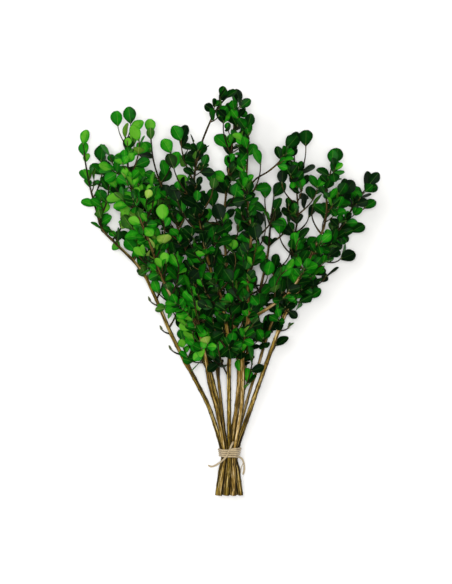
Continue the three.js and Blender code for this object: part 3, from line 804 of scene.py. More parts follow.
def piece(
    name: str, surface: Surface, materials: Sequence[bpy.types.Material], sharp: str = ""
) -> bpy.types.Object:
    """Makes a surface into an object in the frame, in metres.

    Args:
        name: the piece's name.
        surface: its mesh, in millimetres on the growth plan.
        materials: its materials, by the surface's slots.
        sharp: the name of a value whose third part is 1 at both ends of every sharp edge.

    Returns:
        The object, at the origin.
    """
    mesh = bpy.data.meshes.new(name)
    places = (surface.places - MIDDLE) * METRES_PER_MM
    mesh.vertices.add(len(places))
    mesh.vertices.foreach_set("co", places.astype(np.float32).ravel())
    mesh.loops.add(len(surface.corners))
    mesh.loops.foreach_set("vertex_index", surface.corners.astype(np.int32))
    mesh.polygons.add(len(surface.sizes))
    starts = np.cumsum(surface.sizes) - surface.sizes
    mesh.polygons.foreach_set("loop_start", starts.astype(np.int32))
    mesh.polygons.foreach_set("material_index", surface.slots.astype(np.int32))
    mesh.polygons.foreach_set("use_smooth", np.ones(len(surface.sizes), bool))
    mesh.update(calc_edges=True)
    for value_name, values in surface.values.items():
        attribute = mesh.attributes.new(value_name, "FLOAT_VECTOR", "POINT")
        attribute.data.foreach_set("vector", values.astype(np.float32).ravel())
    if sharp:
        ends = np.zeros(2 * len(mesh.edges), np.int32)
        mesh.edges.foreach_get("vertices", ends)
        on_rim = surface.values[sharp][:, 2] > 0.99
        attribute = mesh.attributes.new("sharp_edge", "BOOLEAN", "EDGE")
        attribute.data.foreach_set("value", on_rim[ends.reshape(-1, 2)].all(axis=1))
    for material in materials:
        mesh.materials.append(material)
    mesh.validate()
    made = bpy.data.objects.new(name, mesh)
    bpy.context.scene.collection.objects.link(made)
    LOG.info("%s: %d faces", name, len(mesh.polygons))
    return made


class Slot(Enum):
    """The places of a branch's materials on its wood piece."""

    BARK = 0
    END_GRAIN = 1
    BUD = 2


def tube(centres: np.ndarray, sides_out: tuple, radii: np.ndarray, end_slot: int = 0) -> Surface:
    """Carries a closed profile along a line of rings.

    A place is centre + radius (cos angle side + sin angle up), with the radius a full array of
    rings by angles. Each end is closed by a ring of half the radius and a middle point.

    Args:
        centres: the rings' middles.
        sides_out: the side and up directions at each ring.
        radii: the radius at each ring and angle.
        end_slot: the slot of the end faces.

    Returns:
        The surface, with no values yet.
    """
    rings, count = radii.shape
    angles = 2 * math.pi * np.arange(count) / count
    side, up = sides_out

    def ring_places(ring: np.ndarray, scale: float) -> np.ndarray:
        out = np.cos(angles)[:, None] * side[ring][:, None] + np.sin(angles)[:, None] * up[ring][:, None]
        return centres[ring][:, None] + scale * radii[ring][..., None] * out

    body = ring_places(np.arange(rings), 1.0).reshape(-1, 3)
    inner = ring_places(np.array([0, rings - 1]), 0.5).reshape(-1, 3)
    middles = centres[[0, -1]]
    k = np.arange(count)
    n = np.roll(k, -1)
    base = np.arange(rings - 1)[:, None] * count
    quads = np.stack([base + k, base + count + k, base + count + n, base + n], axis=-1).reshape(-1, 4)
    first, last = len(body), len(body) + count
    start_ring = np.stack([k, n, first + n, first + k], axis=-1)
    top = (rings - 1) * count
    end_ring = np.stack([top + n, top + k, last + k, last + n], axis=-1)
    poles = len(body) + 2 * count
    start_fan = np.stack([first + k, first + n, np.full(count, poles)], axis=-1)
    end_fan = np.stack([last + n, last + k, np.full(count, poles + 1)], axis=-1)
    four = np.concatenate([quads, start_ring, end_ring])
    three = np.concatenate([start_fan, end_fan])
    slots = np.concatenate([np.zeros(len(quads)), np.full(4 * count, end_slot)])
    return Surface(
        places=np.concatenate([body, inner, middles]),
        corners=np.concatenate([four.ravel(), three.ravel()]),
        sizes=np.concatenate([np.full(len(four), 4), np.full(len(three), 3)]),
        slots=slots.astype(int),
        values={},
    )


BARK_VALUES = ("bark_place", "bark_state", "bark_relief")


@dataclass(frozen=True)
class WoodShape:
    """How finely wood is drawn, and how uneven its bark is, in millimetres and shares.

    Each row of ridges is how many go round, their height as a share of ridge, and the length along
    which they turn by a radian. Flutes are narrow ribs: how many go round, and that length. They
    are 1.4 flute high up to where fluted_to starts, and 0.4 flute past its end. Wood is drawn
    slimmer than in the solids: by slimmer_low, and by slimmer more once the stem has been leafy for
    slimming_length.
    """

    stem_sides: int = 28
    twig_sides: int = 8
    stem_step: float = 2.2
    twig_step: float = 2.4
    ridge: float = 0.055
    ridges: tuple = ((2, 1.0, 41.0), (3, 0.8, -19.0), (5, 0.6, 9.0))
    flute: float = 0.075
    flutes: tuple = (7, 60.0)
    fluted_to: tuple = (45.0, 130.0)
    node_swell: float = 0.16
    node_reach: float = 1.5
    root_fade: tuple = (4.0, 9.0)
    knot_bumps: float = 0.12
    knot_reach: float = 9.0
    slimmer: float = 0.2
    slimmer_low: float = 0.06
    slimming_length: float = 90.0
    young_radii: tuple = (0.9, 2.4)
    # How far a stem's leafy part is darkened, partly as younger wood and partly as painted shade under
    # the leaves.
    young_and_shaded_stem: float = 0.55
    young_from_leaves: tuple = (-30.0, 40.0)
    groove_depths: tuple = (0.1, 1.7)
    bark_stretch: float = 700.0

    def surface(self, shoot: Shoot, keys: tuple[int, int]) -> Surface:
        """Draws one shoot as a tube of uneven bark.

        The radius is the shoot's own, made slimmer, times one plus ridges that run along it and
        wander round it, a low ring at every leaf node, and bumps at its knots.

        Args:
            shoot: the shoot.
            keys: its branch and shoot keys, for the draws.

        Returns:
            The surface with its bark values: place across, up and along the shoot in millimetres;
            its state, which is how knotty, how young (on stems also how far into the leafy part, where
            the darkening is partly younger wood and partly painted shade under the leaves), and how near
            a node; and its relief, which is how deep in a groove, how far in the fluted low part, and the
            shoot's own draw.
        """
        length, on_stem = shoot.curve.length, shoot.is_stem
        sides, step = (self.stem_sides, self.stem_step) if on_stem else (self.twig_sides, self.twig_step)
        share = np.linspace(0, 1, max(6, int(length / step)))
        centres, tangent = shoot.curve.at(share), shoot.curve.heading(share)
        side = unit(np.cross(tangent, UP))
        up = np.cross(side, tangent)
        angles = 2 * math.pi * np.arange(sides) / sides
        along = share * length
        starts = [2 * math.pi * draw(*keys, salt) for salt in (401, 402, 403, 404)]
        grid = np.zeros((len(share), sides))
        for (count, height, turn), start in zip(self.ridges, starts):
            grid += height * np.sin(count * angles + start + along[:, None] / turn)
        low_part = 1 - smooth_step(*self.fluted_to, along) if on_stem else np.zeros(len(share))
        count, turn = self.flutes
        flutes = np.sin(count * angles + starts[3] + along[:, None] / turn)
        grid += (self.flute / self.ridge) * (0.4 + low_part[:, None]) * flutes
        gap = shoot.habit.internode
        to_tip = length - shoot.habit.inset - along
        off_node = np.abs((to_tip + 0.5 * gap) % gap - 0.5 * gap)
        node = np.exp(-((off_node / self.node_reach) ** 2))
        node = node * smooth_step(0, self.root_fade[on_stem], along)
        knotty = np.zeros(len(share))
        for knot in shoot.knots:
            knotty = np.maximum(knotty, np.exp(-(((share - knot) * length / self.knot_reach) ** 2)))
        bumps = np.sin(7 * angles + along[:, None] / 3) * np.sin(2 * angles - along[:, None] / 2.1)
        leafy_to = shoot.leafy_from + self.slimming_length
        leafy = smooth_step(shoot.leafy_from, leafy_to, along) if on_stem else 0.5
        radii = (shoot.radius(share) * (1 - self.slimmer_low - self.slimmer * leafy))[:, None] * (
            1
            + self.ridge * grid
            + (self.node_swell * node)[:, None]
            + self.knot_bumps * knotty[:, None] * bumps
        )
        end = Slot.END_GRAIN if on_stem else Slot.BARK
        made = tube(centres, (side, up), radii, end.value)
        # The stems that the bunch lies on are pressed flat on the surface.
        made.places[:, 2] = np.maximum(made.places[:, 2], 0.0)
        mean = radii.mean(axis=1)
        rings = np.repeat(np.arange(len(share)), sides)
        turned = np.tile(angles, len(share))
        round_x, round_y = np.cos(turned) * mean[rings], np.sin(turned) * mean[rings]
        # Each shoot's bark is a stretch of its own, so no two stems are streaked alike.
        own_start = self.bark_stretch * draw(*keys, 406)
        body = np.stack([round_x, round_y, along[rings] + own_start], axis=1)
        young = 1 - smooth_step(*self.young_radii, mean)
        # A stem's leafy part is darkened along the young ramp: partly younger wood, partly painted shade
        # under the leaves.
        if on_stem:
            low, high = (shoot.leafy_from + past for past in self.young_from_leaves)
            young = np.maximum(young, self.young_and_shaded_stem * smooth_step(low, high, along))
        state = np.stack([knotty, young, node], axis=1)[rings]
        groove = smooth_step(*self.groove_depths, -grid).ravel()
        relief = np.stack([groove, low_part[rings], np.full(len(body), draw(*keys, 405))], axis=1)
        caps = np.zeros((len(made.places) - len(body), 3))
        for name, values in zip(BARK_VALUES, (body, state, relief)):
            made.values[name] = np.concatenate([values, caps])
        return made


@dataclass(frozen=True)
class BudShape:
    """A bud in the corner of a leaf or at a tip: a small pointed egg of overlapping scales."""

    rows: int = 5
    sides: int = 6

    def surface(self, root: np.ndarray, heading: np.ndarray, length: float, width: float) -> Surface:
        """Draws one bud: a tube whose radius is half its width times sin(pi (0.08 + 0.9 x^0.8))^0.7.

        Args:
            root: where it sits.
            heading: its unit direction.
            length: its length in millimetres.
            width: its full width in millimetres.

        Returns:
            The surface with its bark values, which hold only the place along the bud.
        """
        x = np.linspace(0, 1, self.rows)
        centres = root + np.outer(x * length, heading)
        side = unit(np.cross(heading, UP + np.array([0.02, 0.01, 0])))
        up = np.cross(side, heading)
        round_off = 0.5 * width * np.sin(math.pi * (0.08 + 0.9 * x**0.8)) ** 0.7
        radii = np.repeat(round_off[:, None], self.sides, axis=1)
        frames = tuple(np.repeat(way[None], self.rows, axis=0) for way in (side, up))
        made = tube(centres, frames, radii)
        made.slots[:] = Slot.BUD.value
        made.places[:, 2] = np.maximum(made.places[:, 2], 0.0)
        for name in BARK_VALUES:
            made.values[name] = np.zeros((len(made.places), 3))
        made.values["bark_place"][: radii.size, 2] = np.repeat(x * length, self.sides)
        return made


@dataclass(frozen=True)
class LeafShape:
    """A leaf as a thin closed blade: two faces that meet at a sharp rim, in millimetres and shares.

    The half width follows blade_half_width, the tip is notched where the midrib ends, the midrib
    is sunk, the halves fold up a little, and the margin ripples and is rolled slightly down. Blades
    past long_from are drawn with long_share of what they have over it, so they look rounder.
    """

    rows: tuple = (0.0, 0.07, 0.18, 0.32, 0.47, 0.62, 0.76, 0.88, 0.96)
    columns: tuple = (-1.0, -0.55, 0.0, 0.55, 1.0)
    thickness: float = 0.42
    notch: float = 0.028
    notch_width: float = 0.3
    midrib_sink: float = 0.16
    midrib_width: float = 0.12
    margin_roll: float = 0.05
    ripple: float = 0.035
    ripple_turns: float = 9.0
    fuller: float = 1.03
    fold: float = 0.11
    long_from: float = 14.5
    long_share: float = 0.72
    off_surface: float = 0.02

    def surface(self, blades: Blades, tint: np.ndarray) -> Surface:
        """Draws all blades at once.

        Args:
            blades: the leaves.
            tint: for each leaf its tone, its age and a draw of its own.

        Returns:
            The surface with its leaf values: place across and along in millimetres, and how near
            the rim; and its tint.
        """
        drawn = self.long_from + self.long_share * (blades.length - self.long_from)
        blades = replace(blades, length=np.minimum(blades.length, drawn))
        t, s = (grid.ravel() for grid in np.meshgrid(self.rows, self.columns, indexing="ij"))
        rows, columns = len(self.rows), len(self.columns)
        top_t, top_s = np.append(t, 1.0), np.append(s, 0.0)
        under = np.array([r * columns + c for r in range(rows) for c in range(1, columns - 1)])
        all_t = np.concatenate([top_t, t[under]])
        all_s = np.concatenate([top_s, s[under]])
        face = np.concatenate([np.ones(len(top_t)), -np.ones(len(under))])
        rim = np.abs(all_s) ** 3
        rim[len(t)] = 1.0
        bulge = 0.5 * self.thickness * (1 - rim) * face
        width = self.fuller * blade_half_width(all_t)
        wave = blades.keys[:, 3] * 2.0 + blades.keys[:, 2] * 1.3 + blades.keys[:, 1]
        ripple = np.sin(all_t * self.ripple_turns + wave[:, None]) * all_s**2 * np.sign(all_s)
        ridge = np.exp(-((all_s / self.midrib_width) ** 2)) * smooth_step(0.02, 0.2, all_t)
        ridge = self.midrib_sink * ridge * (1 - smooth_step(0.75, 1.0, all_t))
        bent = self.ripple * ripple + self.fold * np.abs(all_s) - self.margin_roll * np.abs(all_s) ** 6
        off = bulge - ridge + blades.half_width[:, None] * bent
        notch = np.exp(-((all_s / self.notch_width) ** 2)) * smooth_step(0.8, 1.0, all_t)
        along = all_t - self.notch * notch
        ones = np.ones((len(blades), 1))
        places = blades.points(along * ones, (all_s * width) * ones, off)
        places[..., 2] = np.maximum(places[..., 2], self.off_surface)
        across = all_s * width * blades.half_width[:, None]
        down = all_t * blades.length[:, None]
        leaf = np.stack([across, down, np.broadcast_to(rim, across.shape)], axis=-1)
        tints = np.broadcast_to(tint[:, None], (*across.shape, 3))
        corners, sizes, slots = self.faces(rows, columns, len(top_t))
        count = len(all_t)
        starts = count * np.arange(len(blades))[:, None]
        return Surface(
            places=places.reshape(-1, 3),
            corners=(corners + starts).ravel(),
            sizes=np.tile(sizes, len(blades)),
            slots=np.tile(slots, len(blades)),
            values={"leaf_place": leaf.reshape(-1, 3), "leaf_tint": tints.reshape(-1, 3)},
        )

    def faces(self, rows: int, columns: int, top_count: int) -> tuple:
        """Lists one blade's faces: upper quads, lower quads, the tip's triangles and the stalk's end.

        Args:
            rows: how many rows of places run across the blade.
            columns: how many places a row has.
            top_count: how many places the upper face has, the tip's among them.

        Returns:
            The corners one after another, the number of corners of each face, and each face's slot.
        """
        grid = np.arange(rows * columns).reshape(rows, columns)
        lower = grid.copy()
        lower[:, 1:-1] = top_count + np.arange(rows * (columns - 2)).reshape(rows, columns - 2)
        pole = rows * columns
        a, b = grid[:-1, :-1], grid[:-1, 1:]
        c, d = grid[1:, 1:], grid[1:, :-1]
        upper = np.stack([a, b, c, d], axis=-1).reshape(-1, 4)
        a, b = lower[:-1, :-1], lower[:-1, 1:]
        c, d = lower[1:, 1:], lower[1:, :-1]
        under = np.stack([a, d, c, b], axis=-1).reshape(-1, 4)
        tip_up = np.stack([grid[-1, :-1], grid[-1, 1:], np.full(columns - 1, pole)], axis=-1)
        tip_down = np.stack([lower[-1, 1:], lower[-1, :-1], np.full(columns - 1, pole)], axis=-1)
        stalk = np.concatenate([grid[0, ::-1], lower[0, 1:-1]])
        corners = np.concatenate([upper.ravel(), under.ravel(), tip_up.ravel(), tip_down.ravel(), stalk])
        sizes = [4] * (len(upper) + len(under)) + [3] * (2 * (columns - 1)) + [len(stalk)]
        slots = [0] * len(upper) + [1] * len(under) + [0] * (columns - 1) + [1] * (columns - 1) + [1]
        return corners, np.array(sizes), np.array(slots)


def linear(hex_colour: str) -> tuple[float, float, float, float]:
    """Turns an sRGB hex colour into linear light, fully opaque."""
    values = [int(hex_colour[i : i + 2], 16) / 255 for i in (1, 3, 5)]
    parts = [v / 12.92 if v <= 0.04045 else ((v + 0.055) / 1.055) ** 2.4 for v in values]
    return (*parts, 1.0)


def add(
    tree: bpy.types.NodeTree, kind: str, *values: Any, stops: Sequence = (), **settings: Any
) -> bpy.types.Node:
    """Adds a node with its settings and links.

    Args:
        tree: the node tree.
        kind: the node's type, without the word ShaderNode, and its operation if it has one.
        values: its inputs in order, or one dict of them by name. Each is a value, a socket, or a
            node whose first output feeds it.
        stops: a colour ramp's places and hex colours.
        settings: the node's own properties.

    Returns:
        The node.
    """
    kind, _, operation = kind.partition(" ")
    made = tree.nodes.new("ShaderNode" + kind)
    if operation:
        made.operation = operation
    for name, setting in settings.items():
        setattr(made, name, setting)
    inputs = values[0] if values and isinstance(values[0], dict) else dict(enumerate(values))
    for key, value in inputs.items():
        source = value.outputs[0] if isinstance(value, bpy.types.Node) else value
        if isinstance(source, bpy.types.NodeSocket):
            tree.links.new(source, made.inputs[key])
        else:
            made.inputs[key].default_value = source
    for i, (place, colour) in enumerate(stops):
        elements = made.color_ramp.elements
        stop = elements[i] if i < 2 else elements.new(place)
        stop.position, stop.color = place, linear(colour)
    return made


def parts_of(node: Callable, attribute: str) -> Sequence[bpy.types.NodeSocket]:
    """Gives the three parts of one of a piece's values."""
    return node("SeparateXYZ", node("Attribute", attribute_name=attribute).outputs["Vector"]).outputs


@dataclass(frozen=True)
class Finish:
    """What a surface is made of, as a material of one shader."""

    name: str

    def shader(self, node: Callable) -> dict:
        """Gives the shader's inputs by name, made with a function that adds a node."""
        raise NotImplementedError

    def material(self) -> bpy.types.Material:
        """Builds the material."""
        material = bpy.data.materials.new(self.name)
        material.use_nodes = True
        material.node_tree.nodes.clear()
        node = partial(add, material.node_tree)
        node("OutputMaterial", {"Surface": node("BsdfPrincipled", self.shader(node))})
        return material


@dataclass(frozen=True)
class LeafFinish(Finish):
    """Boxwood leaf, glycerined and dyed: a waxy upper face and a duller, paler lower one.

    The ramp runs from the near black green of the oldest leaves to the yellow green of the
    youngest. The midrib is a pale line about 0.5 mm wide, fine side veins leave it 1.1 mm apart,
    the mottles are 6 mm wide and the grain 0.4 mm.
    """

    stops: tuple
    midrib: str
    margin: str
    spot: str
    roughness: float
    vein_depth: float
    gloss: float = 0.04
    vein_gap_mm: float = 1.1
    vein_slant: float = 0.9
    mottles_per_mm: float = 0.16
    grains_per_mm: float = 2.4
    spot_gap_mm: float = 5.5
    spotted_from_age: float = 0.72
    own_stretch_mm: float = 90.0

    def shader(self, node: Callable) -> dict:
        """Draws the blade in its own millimetres, moved by its own draw."""
        across, along, rim = parts_of(node, "leaf_place")
        tone, age, own = parts_of(node, "leaf_tint")
        side = node("Math ABSOLUTE", across)
        shift = node("CombineXYZ", 0.0, 0.0, node("Math MULTIPLY", own, self.own_stretch_mm))
        place = node("VectorMath ADD", node("CombineXYZ", across, along), shift)
        coarse = {"Vector": place, "Scale": self.mottles_per_mm, "Detail": 4.0, "Roughness": 0.6}
        mottle = node("TexNoise", coarse)
        grain = node("TexNoise", {"Vector": place, "Scale": self.grains_per_mm, "Detail": 3.0})
        # Side veins run forwards at about 45 degrees: their place is along - slant across.
        vein_place = node("Math SUBTRACT", along, node("Math MULTIPLY", side, self.vein_slant))
        vein_place = node("Math ADD", vein_place, node("Math MULTIPLY", mottle, 0.9))
        turn = node("Math MULTIPLY", vein_place, 2 * math.pi / self.vein_gap_mm)
        wave = node("Math MULTIPLY_ADD", node("Math SINE", turn), 0.5, 0.5)
        vein = node("Math POWER", wave, 5.0)
        rib = node("MapRange", side, 0.12, 0.42, 1.0, 0.0, interpolation_type="SMOOTHSTEP")
        rib = node("Math MULTIPLY", rib, node("MapRange", along, 12.0, 21.0, 1.0, 0.25))
        # Painted shade: a blade is darker at its base by the stalk and round its margin, and one half
        # is painted lighter and the other darker, as a fold lies to the light.
        lit = node("Math MULTIPLY_ADD", node("Math SUBTRACT", mottle, 0.5), 0.42, tone)
        lit = node("Math MULTIPLY_ADD", node("Math SUBTRACT", grain, 0.5), 0.06, lit)
        lit = node("Math MULTIPLY_ADD", vein, 0.055, lit)
        lit = node("Math ADD", lit, node("MapRange", along, 0.0, 7.0, -0.14, 0.02))
        lit = node("Math ADD", lit, node("MapRange", rim, 0.1, 1.0, 0.03, -0.12))
        # Painted light and shade on the halves: one is lighter, the other darker, by the leaf's own draw.
        half = node("Math MULTIPLY", node("Math SIGN", across), node("Math SUBTRACT", own, 0.5))
        lit = node("Math MULTIPLY_ADD", half, 0.12, lit)
        edge = node("MapRange", rim, 0.8, 1.0, 0.0, 0.25)
        rib_share = node("Math MULTIPLY", rib, node("Math MULTIPLY_ADD", tone, 0.55, 0.07))
        cells = node("TexVoronoi", {"Vector": place, "Scale": 1 / self.spot_gap_mm})
        old = node("Math GREATER_THAN", age, self.spotted_from_age)
        spots = node("Math MULTIPLY", node("MapRange", cells, 0.05, 0.12, 0.8, 0.0), old)
        colour = node("ValToRGB", lit, stops=self.stops)
        for share, layer in ((edge, self.margin), (rib_share, self.midrib), (spots, self.spot)):
            colour = node("MixRGB", share, colour, linear(layer))
        depth = abs(self.vein_depth)
        height = node("Math MULTIPLY", vein, -0.35 * self.vein_depth)
        for part, share in ((rib, -1.6 * self.vein_depth), (grain, 0.3 * depth), (mottle, 1.8 * depth)):
            height = node("Math MULTIPLY_ADD", part, share, height)
        return {
            "Base Color": colour,
            "Roughness": node("Math MULTIPLY_ADD", mottle, 0.26, self.roughness - 0.13),
            "Normal": node("Bump", {"Height": height, "Distance": METRES_PER_MM, "Strength": 0.55}),
            "IOR": 1.45,
            "Specular IOR Level": self.gloss,
        }


UPPER_LEAF = LeafFinish(
    name="leaf_waxy_upper_face",
    stops=(
        (0.0, "#021304"), (0.2, "#031b04"), (0.42, "#063605"),
        (0.62, "#0c5f08"), (0.82, "#1f800e"), (1.0, "#559c24"),
    ),
    midrib="#5f9434", margin="#1e5c0e", spot="#3a2c10", roughness=0.42, vein_depth=0.1,
)
LOWER_LEAF = LeafFinish(
    name="leaf_dull_lower_face",
    stops=(
        (0.0, "#0d1c0a"), (0.2, "#17330f"), (0.42, "#285518"),
        (0.62, "#42761d"), (0.82, "#62932a"), (1.0, "#8fb048"),
    ),
    midrib="#a9b874", margin="#5f7c30", spot="#4a3c18", roughness=0.6, vein_depth=-0.08,
)


@dataclass(frozen=True)
class BarkFinish(Finish):
    """Boxwood bark: thin, with fine furrows and pale streaks along the stem.

    Old wood is olive gold or pinkish, with painted shade on the sides turned from the light, and young
    wood is dark brown; a stem's leafy part is darker too, partly as younger wood and partly as painted
    shade under the leaves. The furrows are 0.7 mm apart and the streaks 1.9 mm wide, both twenty
    times as long.
    """

    name: str = "boxwood_bark"
    furrow_gap_mm: float = 0.7
    streak_mm: float = 1.9
    flake_mm: float = 3.0
    drawn_out: float = 0.05
    olive: tuple = (
        (0.4, "#241a05"), (0.45, "#574510"), (0.49, "#80661a"),
        (0.53, "#a08532"), (0.57, "#c9b06c"), (0.62, "#e2d2a4"),
    )
    pink: tuple = (
        (0.4, "#2b1d0a"), (0.45, "#5a431a"), (0.5, "#86652a"), (0.55, "#b28e52"), (0.62, "#dec298"),
    )
    young: tuple = (
        (0.38, "#0a0904"), (0.46, "#1a1509"), (0.52, "#2d250f"), (0.58, "#503f1a"), (0.66, "#7d622e"),
    )
    # Painted shade, laid on the sides of the bark turned from the light.
    painted_side_shade: str = "#171104"
    knot: str = "#7a5524"
    scar: str = "#2e220d"
    crack: str = "#120c03"

    def shader(self, node: Callable) -> dict:
        """Draws the bark in the shoot's own millimetres, which have no seam round it."""
        place = node("Attribute", attribute_name="bark_place").outputs["Vector"]
        across, up, _ = node("SeparateXYZ", place).outputs
        knotty, youth, at_leaf = parts_of(node, "bark_state")
        groove, low_part, own = parts_of(node, "bark_relief")
        drawn = node("VectorMath MULTIPLY", place, (1.0, 1.0, self.drawn_out))
        furrows, streaks, flakes = (
            node("TexNoise", {"Vector": vector, "Scale": 1 / size, "Detail": detail, "Roughness": 0.65})
            for vector, size, detail in (
                (drawn, self.furrow_gap_mm, 3.0),
                (drawn, self.streak_mm, 4.0),
                (place, self.flake_mm, 5.0),
            )
        )
        radius = node("Math MULTIPLY_ADD", across, across, node("Math MULTIPLY", up, up))
        radius = node("Math MAXIMUM", node("Math SQRT", radius), 0.05)
        # Painted shade: the bark is darkened on its right and lower sides, away from the light at the
        # upper left, and stays pale on the side that faces it.
        toward_light = node("Math MULTIPLY_ADD", across, -0.4, node("Math MULTIPLY", up, 0.92))
        toward_light = node("Math DIVIDE", toward_light, radius)
        mixed = node("Math MULTIPLY_ADD", streaks, 0.6, node("Math MULTIPLY", furrows, 0.4))
        mixed = node("Math MULTIPLY_ADD", groove, -0.07, mixed)
        # No two stems are equally dark: each moves its own way along the ramps.
        mixed = node("Math MULTIPLY_ADD", node("Math SUBTRACT", own, 0.5), 0.05, mixed)
        olive, pink, young = (
            node("ValToRGB", mixed, stops=stops) for stops in (self.olive, self.pink, self.young)
        )
        hue = node("MapRange", node("Math MULTIPLY_ADD", flakes, 0.5, own), 0.6, 1.1, 0.0, 0.6)
        # Painted shade: how much of the shaded colour a place gets, more the further it turns from the
        # light.
        painted_shade = node("Math MULTIPLY_ADD", flakes, 0.4, toward_light)
        painted_shade = node("MapRange", painted_shade, 0.32, 1.1, 0.94, 0.0)
        reddish = node("Math MULTIPLY_ADD", flakes, 0.9, 0.1)
        reddish = node("Math MULTIPLY", knotty, reddish, use_clamp=True)
        scar = node("Math MULTIPLY", at_leaf, node("Math MULTIPLY", flakes, 0.6))
        deep = node("Math MULTIPLY", groove, node("Math MULTIPLY_ADD", low_part, 0.55, 0.2))
        cracks = node("Math MAXIMUM", node("MapRange", furrows, 0.36, 0.47, 0.75, 0.0), deep)
        colour = olive
        for share, layer in (
            (hue, pink),
            (painted_shade, linear(self.painted_side_shade)),
            (youth, young),
            (reddish, linear(self.knot)),
            (scar, linear(self.scar)),
            (cracks, linear(self.crack)),
        ):
            colour = node("MixRGB", share, colour, layer)
        height = node("Math MULTIPLY_ADD", furrows, 0.5, node("Math MULTIPLY", flakes, 0.2))
        return {
            "Base Color": colour,
            "Roughness": node("Math MULTIPLY_ADD", flakes, 0.3, 0.5),
            "Normal": node("Bump", {"Height": height, "Distance": METRES_PER_MM, "Strength": 0.8}),
            "IOR": 1.5,
            "Specular IOR Level": 0.1,
        }


@dataclass(frozen=True)
class EndGrainFinish(Finish):
    """Sawn boxwood end: close yellow wood with pores of 0.6 mm and darker patches of 2.4 mm."""

    name: str = "boxwood_end_grain"
    pores_per_metre: float = 1600.0
    patches_per_metre: float = 420.0
    stops: tuple = ((0.35, "#7a5c2c"), (0.5, "#b8965a"), (0.65, "#d8bd84"))

    def shader(self, node: Callable) -> dict:
        """Draws the sawn face in the bunch's own metres."""
        solid = node("TexCoord").outputs["Object"]
        pores = node("TexNoise", {"Vector": solid, "Scale": self.pores_per_metre, "Detail": 2.0})
        patches = node("TexNoise", {"Vector": solid, "Scale": self.patches_per_metre, "Detail": 3.0})
        mixed = node("Math MULTIPLY_ADD", pores, 0.5, node("Math MULTIPLY", patches, 0.5))
        return {
            "Base Color": node("ValToRGB", mixed, stops=self.stops),
            "Roughness": 0.8,
            "Normal": node("Bump", {"Height": pores, "Distance": METRES_PER_MM, "Strength": 0.3}),
            "IOR": 1.5,
        }


@dataclass(frozen=True)
class BudFinish(Finish):
    """Boxwood bud: dry overlapping scales, green brown with pale edges 0.6 mm apart."""

    name: str = "boxwood_bud_scales"
    scale_gap_mm: float = 0.6
    flecks_per_metre: float = 900.0
    stops: tuple = ((0.25, "#1c2a0c"), (0.5, "#3f4f18"), (0.75, "#7a7438"))

    def shader(self, node: Callable) -> dict:
        """Draws the scales along the bud's own millimetres."""
        along = parts_of(node, "bark_place")[2]
        solid = node("TexCoord").outputs["Object"]
        flecks = node("TexNoise", {"Vector": solid, "Scale": self.flecks_per_metre, "Detail": 3.0})
        scales = node("Math FRACT", node("Math DIVIDE", along, self.scale_gap_mm))
        mixed = node("Math MULTIPLY_ADD", flecks, 0.6, node("Math MULTIPLY", scales, 0.35))
        return {
            "Base Color": node("ValToRGB", mixed, stops=self.stops),
            "Roughness": 0.62,
            "Normal": node("Bump", {"Height": scales, "Distance": METRES_PER_MM, "Strength": 0.25}),
            "IOR": 1.5,
        }


@dataclass(frozen=True)
class TwineFinish(Finish):
    """Undyed hemp twine: soft cream plies, and fibres about 0.5 mm apart that follow the twist.

    The grooves between the plies are painted dark as shade, and dirt lies on them in patches of 6 mm.
    """

    name: str = "undyed_hemp_twine"
    fuzz_per_metre: float = 1400.0
    dirt_per_metre: float = 160.0
    # Painted shade for the grooves between the plies.
    groove: str = "#776850"
    stops: tuple = ((0.3, "#8a7350"), (0.5, "#b8a278"), (0.68, "#d6c29c"), (0.85, "#ece0c6"))

    def shader(self, node: Callable) -> dict:
        """Draws the fibres as a wave that leans across each ply."""
        turn, along, groove = parts_of(node, "twine_place")
        solid = node("TexCoord").outputs["Object"]
        fine = {"Vector": solid, "Scale": self.fuzz_per_metre, "Detail": 4.0, "Roughness": 0.7}
        fuzz = node("TexNoise", fine)
        dirt = node("TexNoise", {"Vector": solid, "Scale": self.dirt_per_metre, "Detail": 3.0})
        lean = node("Math MULTIPLY_ADD", along, 2.6, node("Math MULTIPLY", turn, 3.0))
        wave = node("Math MULTIPLY_ADD", fuzz, 5.0, node("Math MULTIPLY", lean, 3.0))
        fibre = node("Math MULTIPLY_ADD", node("Math SINE", wave), 0.5, 0.5)
        mixed = node("Math MULTIPLY_ADD", fuzz, 0.4, node("Math MULTIPLY", dirt, 0.35))
        mixed = node("Math MULTIPLY_ADD", fibre, 0.3, mixed)
        colour = node("ValToRGB", mixed, stops=self.stops)
        # Painted shade: the grooves between the plies are darkened towards the groove colour.
        painted_shade = node("Math MULTIPLY", groove, 0.65)
        height = node("Math MULTIPLY_ADD", fibre, 0.1, node("Math MULTIPLY", fuzz, 0.12))
        return {
            "Base Color": node("MixRGB", painted_shade, colour, linear(self.groove)),
            "Roughness": 0.92,
            "Normal": node("Bump", {"Height": height, "Distance": METRES_PER_MM, "Strength": 0.7}),
            "IOR": 1.45,
            "Sheen Weight": 0.25,
            "Sheen Roughness": 0.6,
        }


@dataclass(frozen=True)
class FloorFinish(Finish):
    """The studio's pale matt floor."""

    name: str = "pale_studio_floor"
    colour: str = "#f4f3f1"

    def shader(self, node: Callable) -> dict:
        """Gives the floor its one colour, on the shader itself."""
        return {"Base Color": linear(self.colour), "Roughness": 0.9, "Specular IOR Level": 0.1}


def places_along(shoot: Shoot, gap: float = 2.5) -> np.ndarray:
    """Lists places along a shoot with its radius, a gap apart in millimetres."""
    share = np.linspace(0, 1, max(3, int(shoot.curve.length / gap)))
    return np.column_stack([shoot.curve.at(share), shoot.radius(share)])


